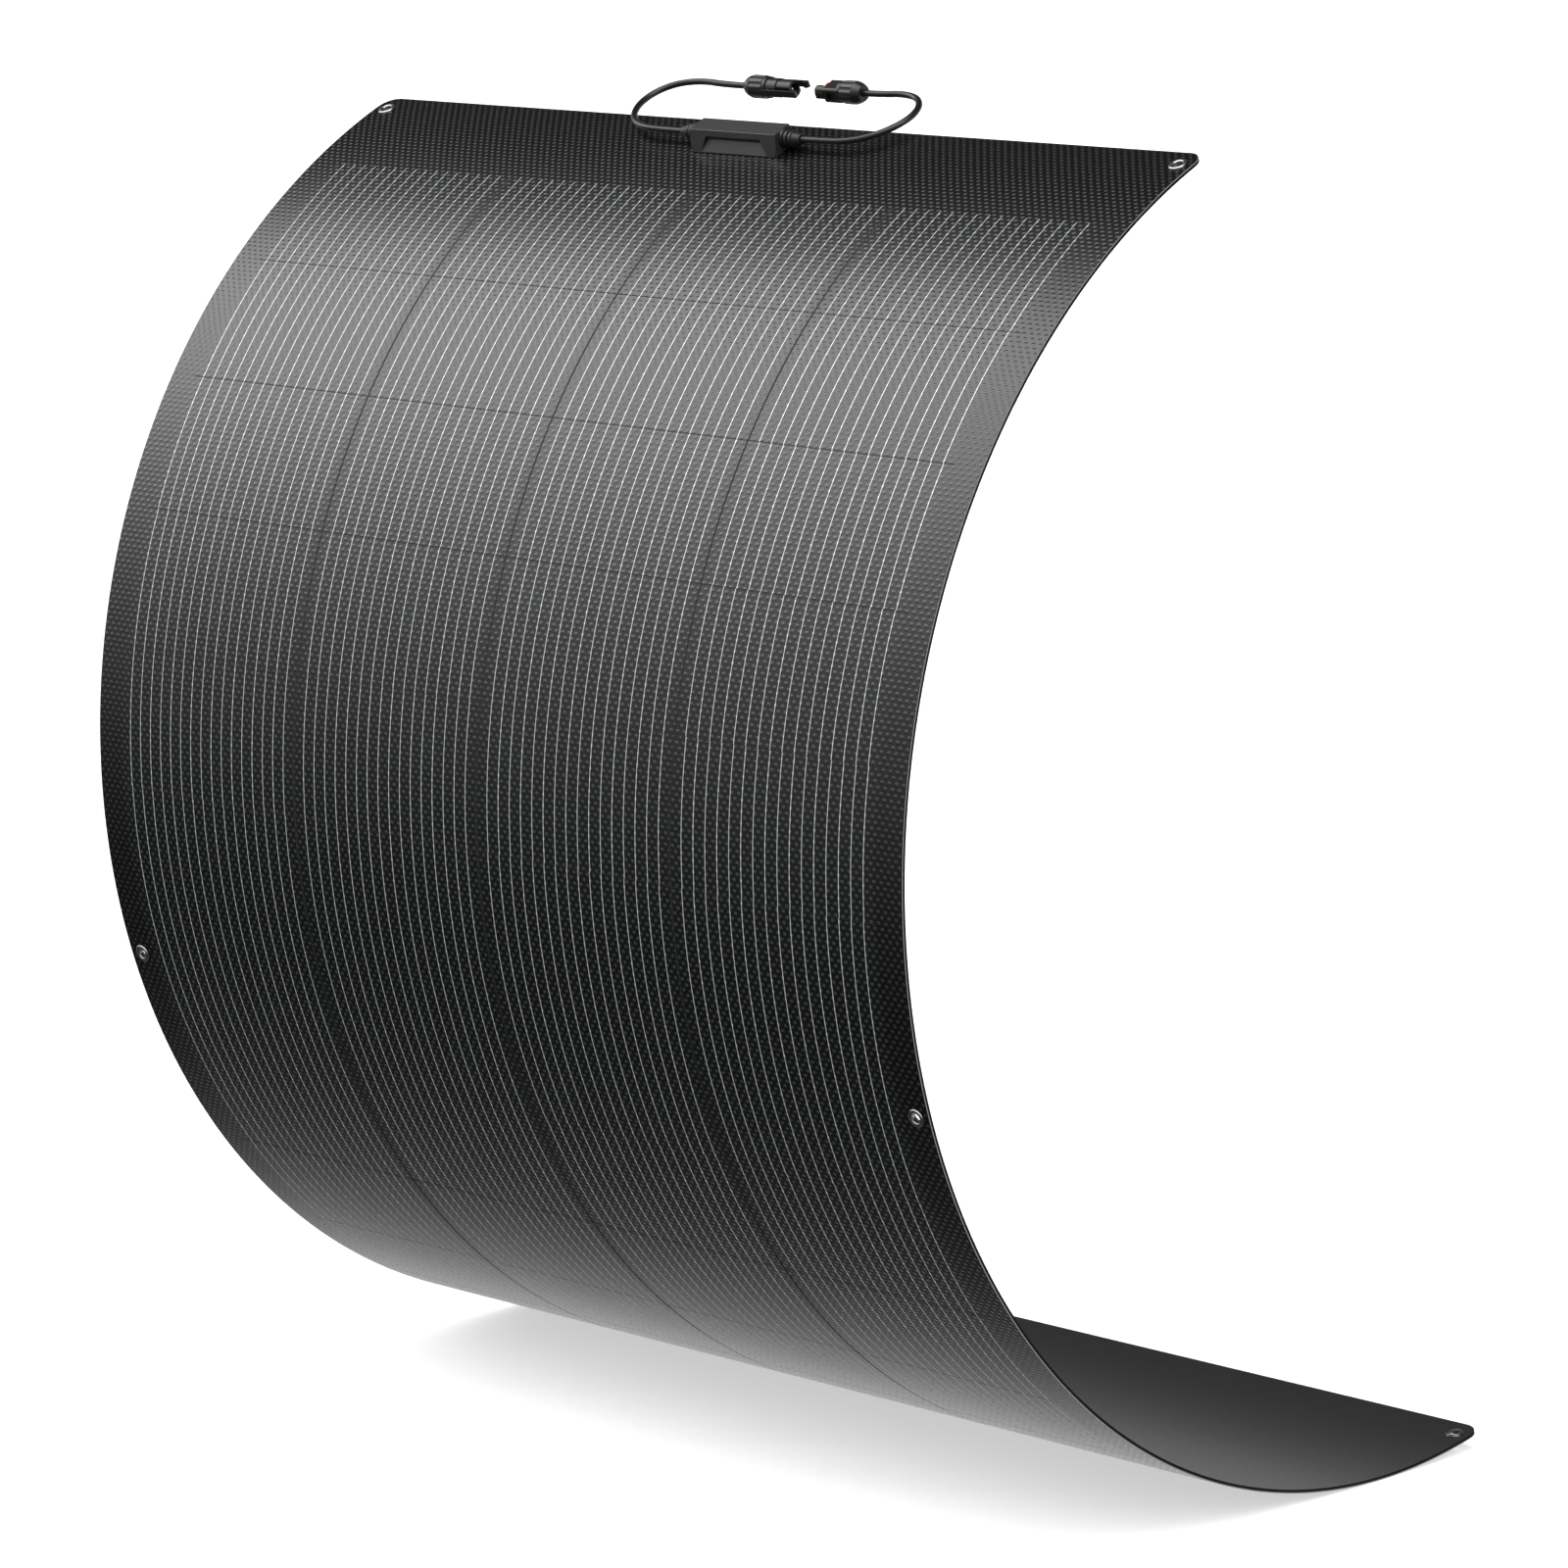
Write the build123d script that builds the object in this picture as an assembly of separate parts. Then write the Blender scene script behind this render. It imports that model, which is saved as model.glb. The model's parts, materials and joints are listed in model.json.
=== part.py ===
from build123d import *
import os
from math import cos, degrees, pi, radians, sin, tan

# Flexible solar sheet, sprung into an open curl.
# +X runs across the sheet, +Z is up, and the curl opens towards +Y.
# The origin is the middle of the back face, half way along the curl.
# "s" is the distance along the cell-side face, measured from the top edge.
# "depth" is measured into the laminate from the cell-side face.

# ---------------------------------------------------------------- sheet
SHEET_WIDTH = 880.0
SHEET_LENGTH = 1600.0
BEND_RADIUS = 544.0  # of the cell-side face, which is the outside of the curl
TOP_LEAN = 24.6  # degrees by which the top edge's outward normal leans forward
CORNER_RADIUS = 14.0

FRONT_FILM = 0.3
FRONT_ENCAPSULANT = 0.5
REAR_ENCAPSULANT = 1.5
BACK_SHEET = 0.7
FILM_DEPTH = 0.0
FRONT_ENCAPSULANT_DEPTH = FILM_DEPTH + FRONT_FILM
CELL_DEPTH = FRONT_ENCAPSULANT_DEPTH + FRONT_ENCAPSULANT
BACK_SHEET_DEPTH = CELL_DEPTH + REAR_ENCAPSULANT
SHEET_THICKNESS = BACK_SHEET_DEPTH + BACK_SHEET

# ---------------------------------------------------------------- cells, wires and ribbons
COLUMNS = 4
ROWS = 13
SIDE_MARGIN = 27.0
TOP_MARGIN = 96.0
BOTTOM_MARGIN = 52.0
COLUMN_GAP = 1.8
ROW_GAP = 0.8
CELL_THICKNESS = 0.2
WIRES_PER_COLUMN = 16
WIRE_WIDTH = 0.7
WIRE_THICKNESS = 0.15
WIRE_INSET = 11.0  # from a cell's side edge to its first wire
RIBBON_WIDTH = 6.0
RIBBON_GAP = 2.0  # between a ribbon and the cells or ribbon beside it
LEAD_SPREAD = 22.0  # from the middle to each ribbon that climbs to the box

CELL_WIDTH = (SHEET_WIDTH - 2 * SIDE_MARGIN - (COLUMNS - 1) * COLUMN_GAP) / COLUMNS
CELL_LENGTH = (SHEET_LENGTH - TOP_MARGIN - BOTTOM_MARGIN - (ROWS - 1) * ROW_GAP) / ROWS
WIRE_PITCH = (CELL_WIDTH - 2 * WIRE_INSET) / (WIRES_PER_COLUMN - 1)
BRIDGE_TOP = TOP_MARGIN - RIBBON_GAP - RIBBON_WIDTH
LEAD_TOP = BRIDGE_TOP - RIBBON_GAP - RIBBON_WIDTH
BRIDGE_BOTTOM = SHEET_LENGTH - BOTTOM_MARGIN + RIBBON_GAP
POCKET_CLEARANCE = 1.0

# ---------------------------------------------------------------- eyelets
EYELET_HOLE_RADIUS = 4.0
EYELET_WALL = 0.6
EYELET_FLANGE_RADIUS = 7.2
EYELET_RIM = 1.0  # height of the rolled rim above the face
EYELET_SIDE_INSET = 13.2
EYELET_END_INSET = 17.2
WASHER_THICKNESS = 0.6
EYELET_FIT = 0.1

# ---------------------------------------------------------------- junction box
BOX_FROM_EDGE = 33.0  # from the sheet's top edge to the middle of the box
BOX_LENGTH = 92.0
BOX_DEPTH = 30.0
BOX_TOP_DEPTH = 17.0
BOX_TOP = 17.0
BOX_EDGE_ROUND = 0.9
BOX_CORNER_CUT = 3.0
PAD_TOP = 0.6
PAD_INSET = 0.8
CAVITY_DEPTH = 14.0
END_WALL = 3.0
ROOF_WALL = 2.0
BASE_THICKNESS = 2.0
BOX_FIT = 0.1
RECESS_TOP_WIDTH = 58.0
RECESS_BOTTOM_WIDTH = 71.0
RECESS_TOP = 12.6
RECESS_SHELF = 9.0
RECESS_SHELF_WALL = 1.8
RECESS_FOOT = 1.2
POTTING_TOP = 12.0

TERMINAL_LENGTH = 18.0
TERMINAL_DEPTH = 9.0
TERMINAL_THICKNESS = 0.8
TERMINAL_MIDDLE = 24.0
TERMINAL_TAB_TOP = 11.0
DIODE_LENGTH = 10.0
DIODE_DEPTH = 6.0
DIODE_HEIGHT = 2.8
DIODE_LEAD_WIDTH = 1.6
DIODE_LEAD_THICKNESS = 0.5

# ---------------------------------------------------------------- cables and glands
CABLE_DIAMETER = 5.2
CONDUCTOR_DIAMETER = 2.2
CABLE_HEIGHT = 9.0  # of the cables and connectors above the face under the box
GLAND_LENGTH = 18.0
GLAND_NECK_RADIUS = 4.5
GLAND_COLLAR_RADIUS = 7.4
GLAND_FLANGE = 1.0
CONNECTOR_AXIS = 69.0  # from the middle of the box to the connectors' common axis
PIN_NUT_BACK = -53.0
SOCKET_NUT_BACK = 71.0

# Route of each cable over the face, as (across, up the slope), from gland to connector.
PIN_CABLE_ROUTE = [
    (-64.0, 0.0), (-86.0, 0.0), (-113.0, 1.8), (-133.0, 13.5), (-144.0, 33.0),
    (-142.0, 53.0), (-129.0, 67.0), (-105.5, 72.0), (-79.0, 69.0), (-53.0, 69.0),
]
SOCKET_CABLE_ROUTE = [
    (64.0, 0.0), (85.0, 0.0), (111.0, 1.2), (133.0, 13.5), (145.0, 35.0),
    (142.5, 53.5), (130.0, 67.0), (110.0, 71.5), (90.5, 69.0), (71.0, 69.0),
]

# ---------------------------------------------------------------- connectors
NUT_RADIUS = 9.2
NUT_BACK_RADIUS = 6.2
NUT_MOUTH_RADIUS = 7.3
NUT_BORE_CLEARANCE = 0.4
NUT_CONE_END = 8.5
NUT_GRIPS = 8
NUT_GRIP_DEPTH = 0.7
PIN_NUT_LENGTH = 21.0
SOCKET_NUT_LENGTH = 19.0
NUT_GAP = 0.4
THREAD_CLEARANCE = 0.3
BOSS_WALL = 1.4
BOSS_BACK = 10.5
CAGE_CLEARANCE = 0.2
CAGE_TIP = 4.6
CAGE_SHOULDER = 10.0
CAGE_FRONT = 17.0
CAGE_FINGERS = 6
CAGE_SLOT = 0.8
COLLAR_RADIUS = 8.6
COLLAR_LENGTH = 2.6
SEAL_LENGTH = 7.0
CONTACT_RADIUS = 2.0
CONTACT_CLEARANCE = 0.2
CRIMP_WALL = 1.1
CRIMP_LENGTH = 6.0

PIN_BODY_RADIUS = 7.6
PIN_BODY_END = 35.0
SLEEVE_RADIUS = 6.8
SLEEVE_BORE_RADIUS = 4.6
SLEEVE_END = 50.0
SLEEVE_FLOOR = 36.0
SLEEVE_FLAT = 5.4  # from the axis to the sleeve's flats under the latch legs
LATCH_ROOT = 30.0
LATCH_END = 58.0
LATCH_INNER = 7.4
LATCH_THICKNESS = 1.8
LATCH_WIDTH = 5.2
LATCH_HOOK = 1.5
LATCH_HOOK_LENGTH = 4.0
LATCH_GAP = 0.2
LATCH_FLAT = 6.8
PIN_TIP = 47.5

SOCKET_BODY_END = 36.0
SOCKET_BODY_HALF_WIDTH = 8.0
SOCKET_BODY_HALF_HEIGHT = 6.4
WINDOW_LENGTH = 8.0
WINDOW_WIDTH = 6.0
WINDOW_DEPTH = 2.0
O_RING_RADIUS = 1.2
NOSE_RADIUS = 4.2
NOSE_END = 49.5
NOSE_BORE_RADIUS = 2.9
GUIDE_LENGTH = 9.0
GUIDE_CLEARANCE = 0.15
GUIDE_WIDTH = 5.0
SOCKET_WALL = 0.6

LEAD_SLOT_WIDTH = 2 * LEAD_SPREAD + RIBBON_WIDTH + 2 * POCKET_CLEARANCE
LEAD_SLOT_DEPTH = TERMINAL_DEPTH + 2 * CELL_THICKNESS + 2 * POCKET_CLEARANCE
CABLE_RADIUS = CABLE_DIAMETER / 2
CONDUCTOR_RADIUS = CONDUCTOR_DIAMETER / 2
BACK_RADIUS = BEND_RADIUS - SHEET_THICKNESS
MID_LEAN = radians(TOP_LEAN) + SHEET_LENGTH / 2 / BEND_RADIUS
CURL_AXIS_Y = BACK_RADIUS * sin(MID_LEAN)
CURL_AXIS_Z = -BACK_RADIUS * cos(MID_LEAN)


# ---------------------------------------------------------------- helpers
def on_sheet(x, s, depth=0.0):
    """Place on the sheet: local Z is the cell-side normal, local Y is up the slope."""
    lean = radians(TOP_LEAN) + s / BEND_RADIUS
    radius = BEND_RADIUS - depth
    y = CURL_AXIS_Y - radius * sin(lean)
    z = CURL_AXIS_Z + radius * cos(lean)
    return Location((x, y, z), (degrees(lean), 0, 0))


def strip(depth, thickness, s_from, s_to, x_from, x_to):
    """A piece of the curl between two depths, two distances and two widths."""
    s_middle = (s_from + s_to) / 2

    def at(s, d):
        return on_sheet(0, s, d).position

    inner = depth + thickness
    outline = Wire([
        Edge.make_three_point_arc(at(s_from, depth), at(s_middle, depth), at(s_to, depth)),
        Edge.make_line(at(s_to, depth), at(s_to, inner)),
        Edge.make_three_point_arc(at(s_to, inner), at(s_middle, inner), at(s_from, inner)),
        Edge.make_line(at(s_from, inner), at(s_from, depth)),
    ])
    return Pos(x_from, 0, 0) * extrude(Face(outline), amount=x_to - x_from, dir=(1, 0, 0))


def block(x_from, x_to, y_from, y_to, z_from, z_to):
    """A box given by its limits."""
    size = (x_to - x_from, y_to - y_from, z_to - z_from)
    middle = ((x_from + x_to) / 2, (y_from + y_to) / 2, (z_from + z_to) / 2)
    return Pos(*middle) * Box(*size)


def turned(*points):
    """A solid of revolution about X from (along, radius) points."""
    return revolve(make_face(Polyline(*points, close=True)), axis=Axis.X)


def rod(x_from, x_to, radius):
    """A round bar along X."""
    middle = (x_from + x_to) / 2
    return Pos(middle, 0, 0) * Rot(0, 90, 0) * Cylinder(radius, abs(x_to - x_from))


def save(node, *shapes):
    """Write one node as one STEP file of separate solids."""
    solids = [solid for shape in shapes for solid in shape.solids()]
    shape = solids[0] if len(solids) == 1 else Compound(children=solids)
    export_step(shape, f"parts/{node}.step")


# ---------------------------------------------------------------- laminate
def eyelet_places():
    """Corners and mid-length, both sides."""
    x = SHEET_WIDTH / 2 - EYELET_SIDE_INSET
    distances = (EYELET_END_INSET, SHEET_LENGTH / 2, SHEET_LENGTH - EYELET_END_INSET)
    return [(side * x, s) for s in distances for side in (-1, 1)]


def corner_cutters():
    """What leaves a rounded corner when it is taken off the sheet."""
    reach = CORNER_RADIUS + POCKET_CLEARANCE
    height = 4 * SHEET_THICKNESS
    cutters = []
    for side in (-1, 1):
        for s, up in ((CORNER_RADIUS, 1), (SHEET_LENGTH - CORNER_RADIUS, -1)):
            square = Pos(side * reach / 2, up * reach / 2, 0) * Box(reach, reach, height)
            cutter = square - Cylinder(CORNER_RADIUS, height + 1)
            cutters.append(on_sheet(side * (SHEET_WIDTH / 2 - CORNER_RADIUS), s) * cutter)
    return cutters


def eyelet_holes():
    """Holes through the laminate for the eyelets' barrels."""
    radius = EYELET_HOLE_RADIUS + EYELET_WALL + EYELET_FIT
    return [on_sheet(x, s) * Cylinder(radius, 6 * SHEET_THICKNESS) for x, s in eyelet_places()]


def lead_slot():
    """Opening under the box, where the two lead ribbons come out of the laminate."""
    return on_sheet(0, BOX_FROM_EDGE) * Box(LEAD_SLOT_WIDTH, LEAD_SLOT_DEPTH, 4 * CELL_DEPTH)


def layer(depth, thickness):
    """One full layer of the laminate with its corners and eyelet holes."""
    half = SHEET_WIDTH / 2
    whole = strip(depth, thickness, 0, SHEET_LENGTH, -half, half)
    return whole - corner_cutters() - eyelet_holes()


def column_left(column):
    """Left edge of a column of cells."""
    return -SHEET_WIDTH / 2 + SIDE_MARGIN + column * (CELL_WIDTH + COLUMN_GAP)


def is_outer(column):
    """The first and last columns feed the junction box."""
    return column in (0, COLUMNS - 1)


def make_laminate():
    film = layer(FILM_DEPTH, FRONT_FILM) - lead_slot()
    save("front_film", film)

    field_half = SHEET_WIDTH / 2 - SIDE_MARGIN + POCKET_CLEARANCE
    field_from = LEAD_TOP - POCKET_CLEARANCE
    field_to = BRIDGE_BOTTOM + RIBBON_WIDTH + POCKET_CLEARANCE
    field = (field_from, field_to, -field_half, field_half)
    front = layer(FRONT_ENCAPSULANT_DEPTH, FRONT_ENCAPSULANT) - lead_slot()
    front -= strip(CELL_DEPTH - WIRE_THICKNESS, WIRE_THICKNESS, *field)
    save("front_encapsulant", front)

    rear = layer(CELL_DEPTH, REAR_ENCAPSULANT)
    rear -= strip(CELL_DEPTH, CELL_THICKNESS, *field)
    lead_half = LEAD_SPREAD + RIBBON_WIDTH / 2 + POCKET_CLEARANCE
    lead_from = BOX_FROM_EDGE - LEAD_SLOT_DEPTH / 2
    rear -= strip(CELL_DEPTH, CELL_THICKNESS, lead_from, field_from + 1, -lead_half, lead_half)
    save("rear_encapsulant", rear)
    save("back_sheet", layer(BACK_SHEET_DEPTH, BACK_SHEET))


def make_cells():
    for column in range(COLUMNS):
        left = column_left(column)
        cells = []
        for row in range(ROWS):
            s = TOP_MARGIN + row * (CELL_LENGTH + ROW_GAP)
            cells.append(
                strip(CELL_DEPTH, CELL_THICKNESS, s, s + CELL_LENGTH, left, left + CELL_WIDTH)
            )
        save(f"cell_column_{column + 1}", *cells)


def make_wires():
    wire_to = BRIDGE_BOTTOM + RIBBON_WIDTH
    for column in range(COLUMNS):
        wire_from = LEAD_TOP if is_outer(column) else BRIDGE_TOP
        wires = []
        for wire in range(WIRES_PER_COLUMN):
            x = column_left(column) + WIRE_INSET + wire * WIRE_PITCH
            wires.append(
                strip(CELL_DEPTH - WIRE_THICKNESS, WIRE_THICKNESS, wire_from, wire_to,
                      x - WIRE_WIDTH / 2, x + WIRE_WIDTH / 2)
            )
        save(f"collector_wires_{column + 1}", *wires)


def lead_ribbons():
    """Left and right ribbons from the outer columns up to the junction box."""
    riser_y = TERMINAL_DEPTH / 2
    riser_s = BOX_FROM_EDGE - riser_y
    ribbons = []
    for side in (-1, 1):
        outer = side * (SHEET_WIDTH / 2 - SIDE_MARGIN)
        near = side * (LEAD_SPREAD - RIBBON_WIDTH / 2)
        far = side * (LEAD_SPREAD + RIBBON_WIDTH / 2)
        across = strip(CELL_DEPTH, CELL_THICKNESS, LEAD_TOP, LEAD_TOP + RIBBON_WIDTH,
                       min(outer, near), max(outer, near))
        along = strip(CELL_DEPTH, CELL_THICKNESS, riser_s - CELL_THICKNESS,
                      LEAD_TOP + RIBBON_WIDTH / 2, min(near, far), max(near, far))
        riser = block(min(near, far), max(near, far), riser_y, riser_y + CELL_THICKNESS,
                      -CELL_DEPTH - CELL_THICKNESS, terminal_floor() + 2 * TERMINAL_THICKNESS)
        ribbons.append(across + along + on_sheet(0, BOX_FROM_EDGE) * riser)
    return ribbons


def make_ribbons():
    inner = column_left(1)
    bridge = strip(CELL_DEPTH, CELL_THICKNESS, BRIDGE_TOP, BRIDGE_TOP + RIBBON_WIDTH,
                   inner, -inner)
    save("top_bus_ribbons", bridge, *lead_ribbons())
    lower = []
    for column in (0, 2):
        left = column_left(column)
        right = column_left(column + 1) + CELL_WIDTH
        lower.append(strip(CELL_DEPTH, CELL_THICKNESS, BRIDGE_BOTTOM,
                           BRIDGE_BOTTOM + RIBBON_WIDTH, left, right))
    save("bottom_bus_ribbons", *lower)


def make_eyelets():
    """Barrel with a rolled rim on the cell side, flared over a washer on the back."""
    bore = EYELET_HOLE_RADIUS
    barrel = bore + EYELET_WALL
    seat = -SHEET_THICKNESS - EYELET_FLANGE_RADIUS ** 2 / (2 * BACK_RADIUS)
    back = seat - WASHER_THICKNESS
    flare = back - EYELET_WALL
    profile = make_face(Polyline(
        (bore, flare), (barrel + EYELET_WALL, flare), (barrel + EYELET_WALL, back),
        (barrel, back), (barrel, 0), (EYELET_FLANGE_RADIUS, 0),
        (EYELET_FLANGE_RADIUS, EYELET_RIM / 3), (EYELET_FLANGE_RADIUS - 1, EYELET_RIM),
        (barrel, EYELET_RIM), (bore, EYELET_RIM / 2), close=True,
    ))
    eyelet = revolve(Plane.XZ * profile, axis=Axis.Z)
    washer = Cylinder(EYELET_FLANGE_RADIUS, WASHER_THICKNESS)
    washer -= Cylinder(barrel + EYELET_FIT / 2, 2 * WASHER_THICKNESS)
    washer = Pos(0, 0, seat - WASHER_THICKNESS / 2) * washer
    places = [on_sheet(x, s) for x, s in eyelet_places()]
    save("eyelets", *[place * eyelet for place in places])
    save("eyelet_washers", *[place * washer for place in places])


# ---------------------------------------------------------------- junction box
def terminal_floor():
    """Top of the box's base, on which the terminals stand."""
    return PAD_TOP + BASE_THICKNESS


def box_half_depth(z):
    """Half the box's depth at a height, because its long faces lean in."""
    share = (z - PAD_TOP) / (BOX_TOP - PAD_TOP)
    return (BOX_DEPTH + share * (BOX_TOP_DEPTH - BOX_DEPTH)) / 2


def finger_recess():
    """Trapezium recess in the front face, with a ramp that runs out at the foot."""
    outside = BOX_DEPTH
    section = make_face(Polyline(
        (-outside, PAD_TOP), (-box_half_depth(RECESS_FOOT), RECESS_FOOT),
        (-CAVITY_DEPTH / 2 - RECESS_SHELF_WALL, RECESS_SHELF),
        (-box_half_depth(RECESS_TOP), RECESS_TOP), (-outside, RECESS_TOP), close=True,
    ))
    wedge = extrude(Plane.YZ * section, amount=BOX_LENGTH / 2, both=True)
    front = make_face(Polyline(
        (-RECESS_BOTTOM_WIDTH / 2, PAD_TOP), (RECESS_BOTTOM_WIDTH / 2, PAD_TOP),
        (RECESS_TOP_WIDTH / 2, RECESS_TOP), (-RECESS_TOP_WIDTH / 2, RECESS_TOP), close=True,
    ))
    return wedge & extrude(Plane.XZ * front, amount=2 * outside, both=True)


def cover_shape():
    """Box cover: leaning long faces, finger recess front and back, gland holes."""
    section = make_face(Polyline(
        (-BOX_DEPTH / 2, PAD_TOP), (BOX_DEPTH / 2, PAD_TOP),
        (BOX_TOP_DEPTH / 2, BOX_TOP), (-BOX_TOP_DEPTH / 2, BOX_TOP), close=True,
    ))
    shell = extrude(Plane.YZ * section, amount=BOX_LENGTH / 2, both=True)
    shell = fillet(shell.edges().group_by(Axis.Z)[-1], BOX_EDGE_ROUND)
    for side in (-1, 1):
        for face in (-1, 1):
            corner = Pos(side * BOX_LENGTH / 2, face * BOX_DEPTH / 2, BOX_TOP / 2)
            shell -= corner * Rot(0, 0, 45) * Box(BOX_CORNER_CUT, BOX_CORNER_CUT, 2 * BOX_TOP)
    half_cavity = BOX_LENGTH / 2 - END_WALL
    shell -= block(-half_cavity, half_cavity, -CAVITY_DEPTH / 2, CAVITY_DEPTH / 2,
                   0, BOX_TOP - ROOF_WALL)
    recess = finger_recess()
    shell -= [recess, Rot(0, 0, 180) * recess]
    return shell - Pos(0, 0, CABLE_HEIGHT) * rod(-BOX_LENGTH, BOX_LENGTH, GLAND_NECK_RADIUS)


def terminals():
    """A plate with an upright tab at each end of the box."""
    floor = terminal_floor()
    plates = []
    for side in (-1, 1):
        near = TERMINAL_MIDDLE - TERMINAL_LENGTH / 2
        far = TERMINAL_MIDDLE + TERMINAL_LENGTH / 2
        half = TERMINAL_DEPTH / 2
        plate = block(near, far, -half, half, floor, floor + TERMINAL_THICKNESS)
        plate += block(far - TERMINAL_THICKNESS, far, -half, half, floor, TERMINAL_TAB_TOP)
        plate -= Pos(0, 0, CABLE_HEIGHT) * rod(near, far + 1, CONDUCTOR_RADIUS)
        plates.append(Rot(0, 0, 0 if side > 0 else 180) * plate)
    return plates


def diode():
    """Flat bypass diode between the two plates, its leads lying on them."""
    floor = terminal_floor()
    body = block(-DIODE_LENGTH / 2, DIODE_LENGTH / 2, -DIODE_DEPTH / 2, DIODE_DEPTH / 2,
                 floor, floor + DIODE_HEIGHT)
    reach = TERMINAL_MIDDLE - TERMINAL_LENGTH / 2 + DIODE_LEAD_WIDTH
    lead_floor = floor + TERMINAL_THICKNESS
    leads = block(-reach, reach, -DIODE_LEAD_WIDTH / 2, DIODE_LEAD_WIDTH / 2,
                  lead_floor, lead_floor + DIODE_LEAD_THICKNESS)
    return body + leads


def gland():
    """Ribbed strain relief along +X, its collar against the box's end wall at X = 0."""
    inside = -END_WALL
    return turned(
        (inside - GLAND_FLANGE, CABLE_RADIUS), (inside - GLAND_FLANGE, GLAND_NECK_RADIUS + 1),
        (inside, GLAND_NECK_RADIUS + 1), (inside, GLAND_NECK_RADIUS), (0, GLAND_NECK_RADIUS),
        (0, GLAND_COLLAR_RADIUS), (3, GLAND_COLLAR_RADIUS), (3, 5.4), (4.2, 5.4), (4.2, 6.8),
        (6.8, 6.8), (6.8, 5.2), (8.2, 5.2), (8.2, 6.2), (10.6, 6.2), (10.6, 5.4),
        (GLAND_LENGTH, 3.9), (GLAND_LENGTH, CABLE_RADIUS),
    )


def make_junction_box():
    place = on_sheet(0, BOX_FROM_EDGE)
    curl = strip(0, BEND_RADIUS / 2, 0, 2 * BOX_DEPTH, -BOX_LENGTH, BOX_LENGTH)
    pad_half = (BOX_LENGTH / 2 - PAD_INSET, BOX_DEPTH / 2 - PAD_INSET)
    pad = block(-pad_half[0], pad_half[0], -pad_half[1], pad_half[1], -1, PAD_TOP)
    pad -= Box(LEAD_SLOT_WIDTH + RIBBON_WIDTH, LEAD_SLOT_DEPTH + RIBBON_WIDTH, 4)
    save("box_adhesive_pad", place * pad - curl)

    half_x = BOX_LENGTH / 2 - END_WALL - BOX_FIT
    half_y = CAVITY_DEPTH / 2 - BOX_FIT
    base = block(-half_x, half_x, -half_y, half_y, PAD_TOP, terminal_floor())
    slot_y = TERMINAL_DEPTH / 2 + CELL_THICKNESS / 2
    for side in (-1, 1):
        slot = Box(RIBBON_WIDTH + 2 * BOX_FIT, 5 * CELL_THICKNESS, 4 * BASE_THICKNESS)
        base -= Pos(side * LEAD_SPREAD, slot_y, PAD_TOP) * slot
    save("junction_box_base", place * base)
    save("junction_box_cover", place * cover_shape())

    plates = terminals()
    save("terminal_plates", *[place * plate for plate in plates])
    save("bypass_diode", place * diode())

    cable_end = BOX_LENGTH / 2 - END_WALL - GLAND_FLANGE
    tab = TERMINAL_MIDDLE + TERMINAL_LENGTH / 2
    high = Pos(0, 0, CABLE_HEIGHT)
    conductors = [high * rod(tab - 2, cable_end, CONDUCTOR_RADIUS),
                  high * rod(-cable_end, 2 - tab, CONDUCTOR_RADIUS)]
    potting = block(-half_x, half_x, -half_y, half_y, terminal_floor(), POTTING_TOP)
    glands = {"pin": high * Pos(-BOX_LENGTH / 2, 0, 0) * Rot(0, 0, 180) * gland(),
              "socket": high * Pos(BOX_LENGTH / 2, 0, 0) * gland()}
    ends = rod(cable_end, half_x + END_WALL, GLAND_NECK_RADIUS + 1)
    potting -= [*plates, diode(), *conductors, high * ends, high * Rot(0, 0, 180) * ends]
    potting = place * potting - lead_ribbons()
    save("potting_compound", potting)
    save("pin_cable_gland", place * glands["pin"])
    save("socket_cable_gland", place * glands["socket"])

    reach = BOX_LENGTH / 2 + GLAND_LENGTH
    tails = [high * rod(cable_end, reach, CABLE_RADIUS),
             high * rod(-reach, -cable_end, CABLE_RADIUS)]
    return [place * piece for piece in tails], [place * piece for piece in conductors]


# ---------------------------------------------------------------- cables
def cable(name, route):
    """Round tube along straight runs joined by tangent arcs."""
    points = [Vector(x, y, CABLE_HEIGHT) for x, y in route]
    runs = [b - a for a, b in zip(points, points[1:])]
    radii = []
    for before, after in zip(runs, runs[1:]):
        half_turn = radians(before.get_angle(after)) / 2
        radii.append(0.45 * min(before.length, after.length) / tan(half_turn))
    path = FilletPolyline(*points, radius=radii)
    start = Plane(origin=points[0], z_dir=runs[0])
    tube = sweep(start * Circle(CABLE_RADIUS), path=path)
    print(name, "length", round(path.length, 1), "radii", [round(r) for r in radii],
          "volume", round(tube.volume / (pi * CABLE_RADIUS ** 2 * path.length), 4))
    save(name, on_sheet(0, BOX_FROM_EDGE) * tube)


# ---------------------------------------------------------------- connectors
def connector_places():
    """Both connectors lie on one axis and face each other. X runs towards the mouth."""
    box = on_sheet(0, BOX_FROM_EDGE)
    pin = box * Pos(PIN_NUT_BACK, CONNECTOR_AXIS, CABLE_HEIGHT)
    socket = box * Pos(SOCKET_NUT_BACK, CONNECTOR_AXIS, CABLE_HEIGHT) * Rot(0, 0, 180)
    return pin, socket


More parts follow.
